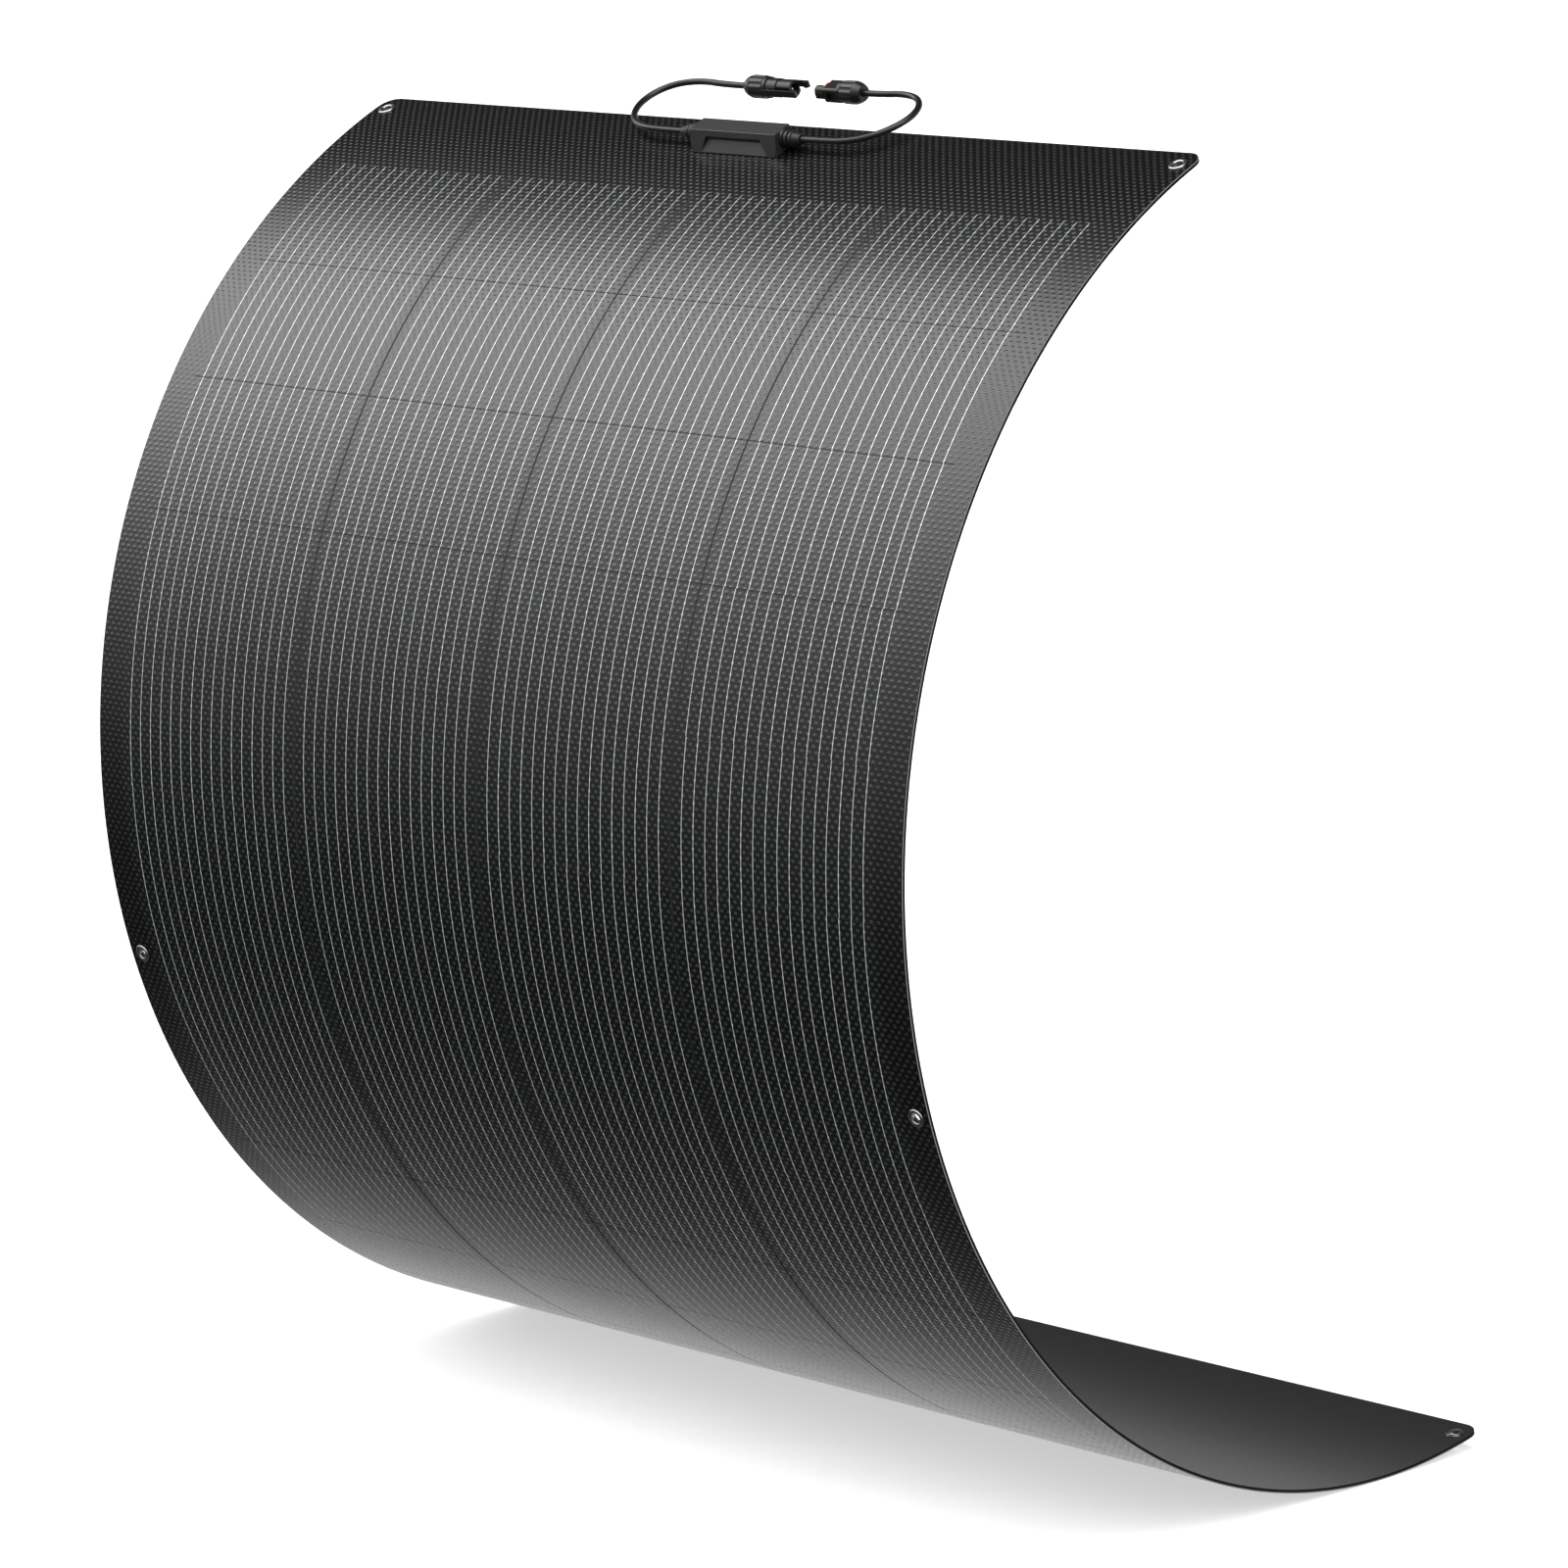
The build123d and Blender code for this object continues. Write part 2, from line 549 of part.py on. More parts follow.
def gland_nut(length):
    """Threaded nut, open at the front, tapered to the cable at the back."""
    bore = CABLE_RADIUS + NUT_BORE_CLEARANCE
    nut = turned(
        (0, bore), (3, bore), (NUT_CONE_END, NUT_MOUTH_RADIUS), (length, NUT_MOUTH_RADIUS),
        (length, NUT_RADIUS - 0.4), (length - 0.8, NUT_RADIUS), (7, NUT_RADIUS),
        (3, NUT_RADIUS - 1.2), (0, NUT_BACK_RADIUS),
    )
    groove_radius = NUT_RADIUS / 2
    reach = NUT_RADIUS + groove_radius - NUT_GRIP_DEPTH
    for grip in range(NUT_GRIPS):
        groove = Pos(0, reach, 0) * rod(length / 3, length + 1, groove_radius)
        nut -= Rot(360 / NUT_GRIPS * grip, 0, 0) * groove
    return nut


def clamp_cage():
    """Slotted cage that the nut closes on the cable."""
    bore = CABLE_RADIUS + NUT_BORE_CLEARANCE * 0.75
    ring = boss_bore() - CAGE_CLEARANCE
    cage = turned(
        (CAGE_TIP, bore), (CAGE_FRONT, bore), (CAGE_FRONT, ring), (CAGE_SHOULDER, ring),
        (CAGE_TIP, bore + 1.0),
    )
    for finger in range(CAGE_FINGERS // 2):
        slot = block(CAGE_TIP - 1, CAGE_SHOULDER + 1, -ring - 1, ring + 1,
                     -CAGE_SLOT / 2, CAGE_SLOT / 2)
        cage -= Rot(180 / (CAGE_FINGERS // 2) * finger, 0, 0) * slot
    return cage


def boss_radius():
    """Outside of the threaded boss inside the nut."""
    return NUT_MOUTH_RADIUS - THREAD_CLEARANCE


def boss_bore():
    """Inside of the threaded boss, round the cage and the seal."""
    return boss_radius() - BOSS_WALL


def seal_front():
    """Where the seal stops and the cable bore begins."""
    return CAGE_FRONT + CAGE_CLEARANCE + SEAL_LENGTH


def cable_stop():
    """Where the cable's jacket ends and its conductor goes on."""
    return seal_front() + 2.0


def cable_seal():
    """Rubber sleeve ahead of the cage."""
    back = CAGE_FRONT + CAGE_CLEARANCE
    return rod(back, seal_front(), boss_bore()) - rod(back - 1, seal_front() + 1, CABLE_RADIUS)


def cable_way(contact_bore):
    """Everything that is hollow behind a connector's contact."""
    wide = rod(0, seal_front(), boss_bore())
    jacket = rod(0, cable_stop() + 1, CABLE_RADIUS + NUT_BORE_CLEARANCE)
    return wide + jacket + rod(0, SLEEVE_END, contact_bore)


def collar(nut_length):
    """Shoulder ahead of the nut."""
    back = nut_length + NUT_GAP
    return rod(back, back + COLLAR_LENGTH, COLLAR_RADIUS)


def pin_housing():
    """Housing with an open sleeve round the pin, flats and anchors for the latch legs."""
    boss = rod(BOSS_BACK, PIN_NUT_LENGTH + NUT_GAP, boss_radius())
    body = rod(PIN_NUT_LENGTH + NUT_GAP, PIN_BODY_END, PIN_BODY_RADIUS)
    sleeve = rod(PIN_BODY_END - 1, SLEEVE_END, SLEEVE_RADIUS)
    housing = boss + collar(PIN_NUT_LENGTH) + body + sleeve
    leg_half = LATCH_WIDTH / 2
    root_back = LATCH_ROOT - LATCH_THICKNESS / 2 - LATCH_GAP
    outer = LATCH_INNER + LATCH_THICKNESS
    for side in (-1, 1):
        turn = Rot(0 if side > 0 else 180, 0, 0)
        anchor = block(PIN_NUT_LENGTH + NUT_GAP, root_back, 0, outer, -leg_half, leg_half)
        flat = block(root_back, SLEEVE_FLOOR, LATCH_FLAT, 2 * outer, -outer, outer)
        long_flat = block(PIN_BODY_END, SLEEVE_END + 1, SLEEVE_FLAT, 2 * outer, -outer, outer)
        housing = housing + turn * anchor - turn * flat - turn * long_flat
    housing -= cable_way(CONTACT_RADIUS + 2 * CONTACT_CLEARANCE)
    return housing - rod(SLEEVE_FLOOR, SLEEVE_END + 1, SLEEVE_BORE_RADIUS)


def latch_leg():
    """Snap leg on the +Y side: round root, straight leg, hook towards the axis."""
    outer = LATCH_INNER + LATCH_THICKNESS
    middle = LATCH_INNER + LATCH_THICKNESS / 2
    half = LATCH_WIDTH / 2
    leg = Pos(LATCH_ROOT, middle, 0) * Cylinder(LATCH_THICKNESS / 2, LATCH_WIDTH)
    leg += block(LATCH_ROOT, LATCH_END, LATCH_INNER, outer, -half, half)
    tip = make_face(Polyline(
        (LATCH_END - LATCH_HOOK_LENGTH, outer - 0.5),
        (LATCH_END - LATCH_HOOK_LENGTH, LATCH_INNER - LATCH_HOOK),
        (LATCH_END - 1.2, LATCH_INNER - LATCH_HOOK), (LATCH_END, LATCH_INNER),
        (LATCH_END, outer - 0.5), close=True,
    ))
    return leg + extrude(tip, amount=half, both=True)


def crimp(radius):
    """Barrel that holds the conductor, joined to the contact ahead of it."""
    back = cable_stop()
    return rod(back, back + CRIMP_LENGTH, radius) - rod(back - 1, back + 4, CONDUCTOR_RADIUS)


def pin_contact():
    """Turned pin with a crimp barrel."""
    start = cable_stop() + CRIMP_LENGTH
    pin = turned((start - 0.5, 0), (start - 0.5, CONTACT_RADIUS),
                 (PIN_TIP - 2, CONTACT_RADIUS), (PIN_TIP, 0.8), (PIN_TIP, 0))
    return crimp(CONDUCTOR_RADIUS + CRIMP_WALL) + pin


def socket_housing():
    """Box-sided housing with latch windows, a sealing neck and a narrow nose."""
    body_back = SOCKET_NUT_LENGTH + NUT_GAP
    boss = rod(BOSS_BACK, body_back, boss_radius())
    body = block(body_back, SOCKET_BODY_END, -SOCKET_BODY_HALF_WIDTH, SOCKET_BODY_HALF_WIDTH,
                 -SOCKET_BODY_HALF_HEIGHT, SOCKET_BODY_HALF_HEIGHT)
    body = fillet(body.edges().filter_by(Axis.X), 2.5)
    nose = turned((SOCKET_BODY_END - 1, 0), (SOCKET_BODY_END - 1, NOSE_RADIUS),
                  (NOSE_END - 1, NOSE_RADIUS), (NOSE_END, NOSE_RADIUS - 0.6), (NOSE_END, 0))
    guide = block(SOCKET_BODY_END - 1, SOCKET_BODY_END + GUIDE_LENGTH,
                  NOSE_RADIUS + 2 * O_RING_RADIUS + GUIDE_CLEARANCE, SOCKET_BODY_HALF_WIDTH,
                  -GUIDE_WIDTH / 2, GUIDE_WIDTH / 2)
    housing = boss + collar(SOCKET_NUT_LENGTH) + body + nose + guide
    window_to = SOCKET_BODY_END - 3
    for side in (-1, 1):
        floor = SOCKET_BODY_HALF_WIDTH - WINDOW_DEPTH
        window = block(window_to - WINDOW_LENGTH, window_to, floor, 2 * floor,
                       -WINDOW_WIDTH / 2, WINDOW_WIDTH / 2)
        housing -= Rot(0 if side > 0 else 180, 0, 0) * window
    housing -= cable_way(NOSE_BORE_RADIUS)
    return housing


def o_ring():
    """Sealing ring round the neck, against the body's front face."""
    ring = Rot(0, 90, 0) * Torus(NOSE_RADIUS + O_RING_RADIUS, O_RING_RADIUS)
    return Pos(SOCKET_BODY_END + O_RING_RADIUS, 0, 0) * ring


def socket_contact():
    """Tube that takes the pin, with a crimp barrel behind it."""
    start = cable_stop() + CRIMP_LENGTH
    outer = NOSE_BORE_RADIUS - CONTACT_CLEARANCE
    tube = rod(start - 0.5, NOSE_END - 1, outer)
    tube -= rod(start + 2, NOSE_END, outer - SOCKET_WALL)
    return crimp(CONDUCTOR_RADIUS + CRIMP_WALL) + tube


def make_connectors():
    pin, socket = connector_places()
    save("pin_connector_nut", pin * gland_nut(PIN_NUT_LENGTH))
    save("pin_connector_clamp_cage", pin * clamp_cage())
    save("pin_connector_seal", pin * cable_seal())
    save("pin_connector_housing", pin * pin_housing())
    save("pin_connector_latch_upper", pin * latch_leg())
    save("pin_connector_latch_lower", pin * Rot(180, 0, 0) * latch_leg())
    save("pin_contact", pin * pin_contact())
    save("socket_connector_nut", socket * gland_nut(SOCKET_NUT_LENGTH))
    save("socket_connector_clamp_cage", socket * clamp_cage())
    save("socket_connector_seal", socket * cable_seal())
    save("socket_connector_housing", socket * socket_housing())
    save("socket_connector_o_ring", socket * o_ring())
    save("socket_contact", socket * socket_contact())
    tail = rod(0, cable_stop(), CABLE_RADIUS)
    conductor = rod(cable_stop(), cable_stop() + 4, CONDUCTOR_RADIUS)
    return [pin * tail, socket * tail], [pin * conductor, socket * conductor]


make_laminate()
make_cells()
make_wires()
make_ribbons()
make_eyelets()
box_tails, box_conductors = make_junction_box()
cable("pin_cable", PIN_CABLE_ROUTE)
cable("socket_cable", SOCKET_CABLE_ROUTE)
connector_tails, connector_conductors = make_connectors()
save("cable_tails", *box_tails, *connector_tails)
save("conductor_ends", *box_conductors, *connector_conductors)
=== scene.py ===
"""Looks of a flexible solar sheet that is sprung into an open curl.

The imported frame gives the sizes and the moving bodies. This script adds the
embossed film with its cells and collector wires, the smooth back sheet, the
eyelets, the cables and the finish of every piece, then the studio and the camera.
All lengths are in metres unless a name says otherwise.
"""

from __future__ import annotations

import json
import logging
import math
from dataclasses import dataclass, field
from enum import Enum
from typing import Any, Mapping, Sequence

import bmesh
import bpy
from mathutils import Matrix, Vector

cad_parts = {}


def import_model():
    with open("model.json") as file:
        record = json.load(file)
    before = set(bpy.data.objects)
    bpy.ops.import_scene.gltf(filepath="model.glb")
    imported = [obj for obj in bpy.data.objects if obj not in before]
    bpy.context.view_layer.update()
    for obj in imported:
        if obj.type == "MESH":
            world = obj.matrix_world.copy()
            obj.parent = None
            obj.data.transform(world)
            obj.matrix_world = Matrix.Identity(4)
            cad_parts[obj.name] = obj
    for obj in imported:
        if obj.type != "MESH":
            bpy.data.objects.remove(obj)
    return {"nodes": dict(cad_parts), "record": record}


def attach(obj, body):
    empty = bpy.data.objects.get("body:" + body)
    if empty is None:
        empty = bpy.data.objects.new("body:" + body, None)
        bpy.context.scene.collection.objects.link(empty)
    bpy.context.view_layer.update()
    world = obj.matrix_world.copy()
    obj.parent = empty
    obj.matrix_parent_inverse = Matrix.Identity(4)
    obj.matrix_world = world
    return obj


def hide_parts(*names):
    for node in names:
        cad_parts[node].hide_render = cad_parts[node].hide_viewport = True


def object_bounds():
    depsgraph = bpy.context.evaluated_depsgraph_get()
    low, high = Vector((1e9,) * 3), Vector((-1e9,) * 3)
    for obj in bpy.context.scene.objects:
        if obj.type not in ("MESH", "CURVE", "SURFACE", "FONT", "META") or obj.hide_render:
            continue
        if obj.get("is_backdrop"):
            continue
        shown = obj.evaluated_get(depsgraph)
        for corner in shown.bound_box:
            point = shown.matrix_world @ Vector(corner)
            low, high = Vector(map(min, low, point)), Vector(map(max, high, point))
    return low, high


log = logging.getLogger("solar_sheet")

MM = 0.001
ROOT = "sheet"
FLOOR_GAP = 0.5 * MM  # from the floor to the lowest point of the CAD
MATH = "ShaderNodeMath"
NOISE_RANGE = (0.3, 0.7)  # the part of a noise texture's output that it mostly fills


# ------------------------------------------------------------------ colours and nodes
def linear(hex_code: str) -> tuple[float, float, float, float]:
    """Turns an sRGB hex colour to the linear values that a shader takes.

    Args:
        hex_code: Six hex digits, with or without a leading hash.

    Returns:
        Red, green, blue and an alpha of 1.
    """
    digits = hex_code.lstrip("#")
    shares = [int(digits[i : i + 2], 16) / 255 for i in (0, 2, 4)]
    red, green, blue = (
        share / 12.92 if share <= 0.04045 else ((share + 0.055) / 1.055) ** 2.4
        for share in shares
    )
    return red, green, blue, 1.0


def add_node(
    tree: bpy.types.NodeTree,
    kind: str,
    inputs: Mapping[Any, Any] | None = None,
    **settings: Any,
) -> bpy.types.Node:
    """Adds one node with its settings and its inputs.

    Args:
        tree: The tree that the node goes into.
        kind: Blender's name for the node's type.
        inputs: Values or output sockets, keyed by the input's name or number.
        settings: Properties of the node itself, set before its inputs.

    Returns:
        The new node.
    """
    node = tree.nodes.new(kind)
    for name, value in settings.items():
        setattr(node, name, value)
    for key, value in (inputs or {}).items():
        if isinstance(value, bpy.types.NodeSocket):
            tree.links.new(value, node.inputs[key])
        else:
            node.inputs[key].default_value = value
    return node


# ------------------------------------------------------------------ the curl
@dataclass(frozen=True)
class Curl:
    """The arc that the sheet is bent to, and places on it.

    Flat coordinates are x across the sheet, minus the distance from the top edge,
    and minus the depth below the cell-side face.
    """

    width: float = 880 * MM
    length: float = 1600 * MM
    thickness: float = 3.0 * MM
    bend_radius: float = 544 * MM
    top_lean: float = math.radians(24.6)

    @property
    def axis(self) -> tuple[float, float]:
        """The curl's centre, as (y, z)."""
        middle = self.top_lean + self.length / 2 / self.bend_radius
        inner = self.bend_radius - self.thickness
        return inner * math.sin(middle), -inner * math.cos(middle)

    def place(self, x: float, along: float) -> Matrix:
        """Gives the frame that lies on the cell-side face.

        Args:
            x: Distance across the sheet from its middle.
            along: Distance along the face from the top edge.

        Returns:
            A matrix whose Z is the outward normal and whose Y climbs the slope.
        """
        lean = self.top_lean + along / self.bend_radius
        y = self.axis[0] - self.bend_radius * math.sin(lean)
        z = self.axis[1] + self.bend_radius * math.cos(lean)
        return Matrix.Translation((x, y, z)) @ Matrix.Rotation(lean, 4, "X")

    def sizes(self) -> dict[str, float]:
        """The bend's named inputs for a geometry tree."""
        return {
            "Bend radius": self.bend_radius,
            "Top lean": self.top_lean,
            "Axis Y": self.axis[0],
            "Axis Z": self.axis[1],
        }


CURL = Curl()
FLAT = "flat"  # the attribute that keeps flat coordinates on a bent piece


# ------------------------------------------------------------------ geometry trees
def open_tree(
    name: str, sizes: Mapping[str, float]
) -> tuple[bpy.types.NodeTree, bpy.types.Node, bpy.types.Node]:
    """Starts a geometry tree with a geometry in, a geometry out and named sizes.

    Args:
        name: The tree's name.
        sizes: Name and starting value of each input; a whole number makes an integer.

    Returns:
        The tree, its input node and its output node.
    """
    tree = bpy.data.node_groups.new(name, "GeometryNodeTree")
    for side in ("INPUT", "OUTPUT"):
        tree.interface.new_socket("Geometry", in_out=side, socket_type="NodeSocketGeometry")
    for label, value in sizes.items():
        kind = "NodeSocketInt" if isinstance(value, int) else "NodeSocketFloat"
        tree.interface.new_socket(label, in_out="INPUT", socket_type=kind).default_value = value
    return tree, tree.nodes.new("NodeGroupInput"), tree.nodes.new("NodeGroupOutput")


class CurlTrees:
    """Geometry trees that bend flat geometry over the curl, alone or repeated."""

    def __init__(self, curl: Curl) -> None:
        """Builds the shared bend for one curl."""
        self.curl = curl
        self.bend = self._bend()

    def _bend(self) -> bpy.types.NodeTree:
        """Keeps each point's flat coordinates, then bends it over the curl."""
        tree, entry, leave = open_tree("Bend over the curl", self.curl.sizes())
        bend_radius = entry.outputs["Bend radius"]
        here = add_node(tree, "GeometryNodeInputPosition")
        kept = add_node(
            tree,
            "GeometryNodeStoreNamedAttribute",
            {"Geometry": entry.outputs["Geometry"], "Name": FLAT, "Value": here.outputs[0]},
            data_type="FLOAT_VECTOR",
            domain="POINT",
        )
        apart = add_node(tree, "ShaderNodeSeparateXYZ", {0: here.outputs[0]})
        turn = add_node(tree, MATH, {0: apart.outputs[1], 1: bend_radius}, operation="DIVIDE")
        lean = add_node(
            tree, MATH, {0: entry.outputs["Top lean"], 1: turn.outputs[0]}, operation="SUBTRACT"
        )
        radius = add_node(tree, MATH, {0: bend_radius, 1: apart.outputs[2]}, operation="ADD")
        sine = add_node(tree, MATH, {0: lean.outputs[0]}, operation="SINE")
        cosine = add_node(tree, MATH, {0: lean.outputs[0]}, operation="COSINE")
        back = add_node(tree, MATH, {0: radius.outputs[0], 1: sine.outputs[0]}, operation="MULTIPLY")
        y = add_node(tree, MATH, {0: entry.outputs["Axis Y"], 1: back.outputs[0]}, operation="SUBTRACT")
        z = add_node(
            tree,
            MATH,
            {0: radius.outputs[0], 1: cosine.outputs[0], 2: entry.outputs["Axis Z"]},
            operation="MULTIPLY_ADD",
        )
        bent = add_node(
            tree, "ShaderNodeCombineXYZ", {0: apart.outputs[0], 1: y.outputs[0], 2: z.outputs[0]}
        )
        moved = add_node(
            tree, "GeometryNodeSetPosition", {"Geometry": kept.outputs[0], "Position": bent.outputs[0]}
        )
        tree.links.new(moved.outputs[0], leave.inputs[0])
        return tree

    def _bent(
        self, tree: bpy.types.NodeTree, entry: bpy.types.Node, geometry: bpy.types.NodeSocket
    ) -> bpy.types.NodeSocket:
        """Sends a geometry through the shared bend.

        Args:
            tree: The tree that is being built.
            entry: Its input node, which carries the bend's sizes.
            geometry: The flat geometry.

        Returns:
            The bent geometry's socket.
        """
        inputs = {label: entry.outputs[label] for label in self.curl.sizes()}
        group = add_node(tree, "GeometryNodeGroup", {"Geometry": geometry, **inputs}, node_tree=self.bend)
        return group.outputs[0]

    def layer(self, face: bpy.types.Material, wall: bpy.types.Material) -> bpy.types.NodeTree:
        """Builds the tree for one layer of the laminate.

        Args:
            face: Material of the two broad faces.
            wall: Material of the cut edge all round.

        Returns:
            The finished tree.
        """
        tree, entry, leave = open_tree("Layer over the curl", self.curl.sizes())
        normal = add_node(tree, "GeometryNodeInputNormal")
        apart = add_node(tree, "ShaderNodeSeparateXYZ", {0: normal.outputs[0]})
        steep = add_node(tree, MATH, {0: apart.outputs[2]}, operation="ABSOLUTE")
        is_wall = add_node(tree, MATH, {0: steep.outputs[0], 1: 0.5}, operation="LESS_THAN")
        marked = add_node(
            tree,
            "GeometryNodeStoreNamedAttribute",
            {"Geometry": entry.outputs["Geometry"], "Name": "wall", "Value": is_wall.outputs[0]},
            data_type="FLOAT",
            domain="FACE",
        )
        bent = self._bent(tree, entry, marked.outputs[0])
        real = add_node(tree, "GeometryNodeRealizeInstances", {"Geometry": bent})
        faced = add_node(tree, "GeometryNodeSetMaterial", {"Geometry": real.outputs[0], "Material": face})
        read = add_node(tree, "GeometryNodeInputNamedAttribute", {"Name": "wall"}, data_type="FLOAT")
        chosen = add_node(tree, MATH, {0: read.outputs[0], 1: 0.5}, operation="GREATER_THAN")
        walled = add_node(
            tree,
            "GeometryNodeSetMaterial",
            {"Geometry": faced.outputs[0], "Selection": chosen.outputs[0], "Material": wall},
        )
        tree.links.new(walled.outputs[0], leave.inputs[0])
        return tree

    def repeated(self, material: bpy.types.Material) -> bpy.types.NodeTree:
        """Builds the tree that repeats a shape in columns and rows over the curl.

        Args:
            material: Material of every copy.

        Returns:
            The finished tree. "Row shift" moves each row sideways by up to that much.
        """
        sizes = {
            "Columns": 1,
            "Column pitch": 0.1,
            "Rows": 1,
            "Row pitch": 0.1,
            "First x": 0.0,
            "First distance": 0.0,
            "Row shift": 0.0,
            "Seed": 1,
        }
        tree, entry, leave = open_tree("Rows and columns over the curl", {**sizes, **self.curl.sizes()})
        down = add_node(tree, MATH, {0: entry.outputs["First distance"], 1: -1.0}, operation="MULTIPLY")
        first = add_node(tree, "ShaderNodeCombineXYZ", {0: entry.outputs["First x"], 1: down.outputs[0]})
        step_down = add_node(tree, MATH, {0: entry.outputs["Row pitch"], 1: -1.0}, operation="MULTIPLY")
        row_step = add_node(tree, "ShaderNodeCombineXYZ", {1: step_down.outputs[0]})
        column_step = add_node(tree, "ShaderNodeCombineXYZ", {0: entry.outputs["Column pitch"]})
        rows = add_node(
            tree,
            "GeometryNodeMeshLine",
            {
                "Count": entry.outputs["Rows"],
                "Start Location": first.outputs[0],
                "Offset": row_step.outputs[0],
            },
            mode="OFFSET",
        )
        index = add_node(tree, "GeometryNodeInputIndex")
        shift_low = add_node(tree, MATH, {0: entry.outputs["Row shift"], 1: -1.0}, operation="MULTIPLY")
        chance = add_node(tree, "FunctionNodeRandomValue", data_type="FLOAT")
        floats = [s for s in chance.inputs if s.type == "VALUE"]
        tree.links.new(shift_low.outputs[0], floats[0])
        tree.links.new(entry.outputs["Row shift"], floats[1])
        tree.links.new(index.outputs[0], chance.inputs["ID"])
        tree.links.new(entry.outputs["Seed"], chance.inputs["Seed"])
        drawn = next(s for s in chance.outputs if s.type == "VALUE")
        shift = add_node(tree, "ShaderNodeCombineXYZ", {0: drawn})
        shifted = add_node(
            tree, "GeometryNodeSetPosition", {"Geometry": rows.outputs[0], "Offset": shift.outputs[0]}
        )
        columns = add_node(
            tree,
            "GeometryNodeMeshLine",
            {"Count": entry.outputs["Columns"], "Offset": column_step.outputs[0]},
            mode="OFFSET",
        )
        grid = add_node(
            tree,
            "GeometryNodeInstanceOnPoints",
            {"Points": columns.outputs[0], "Instance": shifted.outputs[0]},
        )
        places = add_node(tree, "GeometryNodeRealizeInstances", {"Geometry": grid.outputs[0]})
        copies = add_node(
            tree,
            "GeometryNodeInstanceOnPoints",
            {"Points": places.outputs[0], "Instance": entry.outputs["Geometry"]},
        )
        single = add_node(tree, "GeometryNodeRealizeInstances", {"Geometry": copies.outputs[0]})
        bent = self._bent(tree, entry, single.outputs[0])
        real = add_node(tree, "GeometryNodeRealizeInstances", {"Geometry": bent})
        dressed = add_node(
            tree, "GeometryNodeSetMaterial", {"Geometry": real.outputs[0], "Material": material}
        )
        tree.links.new(dressed.outputs[0], leave.inputs[0])
        return tree


def plain_object(name: str, mesh: bpy.types.Mesh) -> bpy.types.Object:
    """Links a mesh into the scene as an object at the origin."""
    made = bpy.data.objects.new(name, mesh)
    bpy.context.scene.collection.objects.link(made)
    return made


def closed_mesh(name: str, shape: bmesh.types.BMesh) -> bpy.types.Mesh:
    """Turns a closed shape into a mesh with its faces outwards.

    Args:
        name: The mesh's name.
        shape: The closed shape, which is freed.

    Returns:
        The new mesh.
    """
    bmesh.ops.recalc_face_normals(shape, faces=shape.faces)
    mesh = bpy.data.meshes.new(name)
    shape.to_mesh(mesh)
    shape.free()
    return mesh


def settle(piece: bpy.types.Object, node: str) -> None:
    """Rides a piece on the sheet, in the place of its CAD node.

    Args:
        piece: The finished piece.
        node: The CAD node that it replaces.
    """
    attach(piece, ROOT)
    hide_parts(node)
    log.info("%s takes the place of %s", piece.name, node)


def run_tree(
    tree: bpy.types.NodeTree,
    name: str,
    start: bpy.types.Mesh,
    sizes: Mapping[str, float],
    sharp: float = 30.0,
) -> bpy.types.Object:
    """Runs a geometry tree on a mesh and keeps the result as a plain mesh.

    Args:
        tree: The tree to run.
        name: Name of the new object.
        start: The mesh that enters the tree.
        sizes: The tree's named inputs.
        sharp: Angle in degrees above which an edge stays sharp.

    Returns:
        The new object, at the origin, with no modifier.
    """
    base = plain_object(name + "_flat", start)
    modifier = base.modifiers.new("Curl", "NODES")
    modifier.node_group = tree
    for item in tree.interface.items_tree:
        if item.item_type == "SOCKET" and item.in_out == "INPUT" and item.name in sizes:
            modifier[item.identifier] = sizes[item.name]
    graph = bpy.context.evaluated_depsgraph_get()
    mesh = bpy.data.meshes.new_from_object(
        base.evaluated_get(graph), preserve_all_data_layers=True, depsgraph=graph
    )
    base.modifiers.clear()
    bpy.data.objects.remove(base)
    mesh.name = name
    mesh.shade_smooth()
    mesh.set_sharp_from_angle(angle=math.radians(sharp))
    return plain_object(name, mesh)


# ------------------------------------------------------------------ finishes
class Grain(Enum):
    """How a surface was made, which sets the pattern that it shows."""

    MOULDED = "moulded"  # even matt grain left by an eroded mould
    BRUSHED = "brushed"  # fine lines along X
    POLISHED = "polished"  # almost smooth, with faint cloudiness
    DRAWN = "drawn"  # extruded or drawn, with short faint lines along X


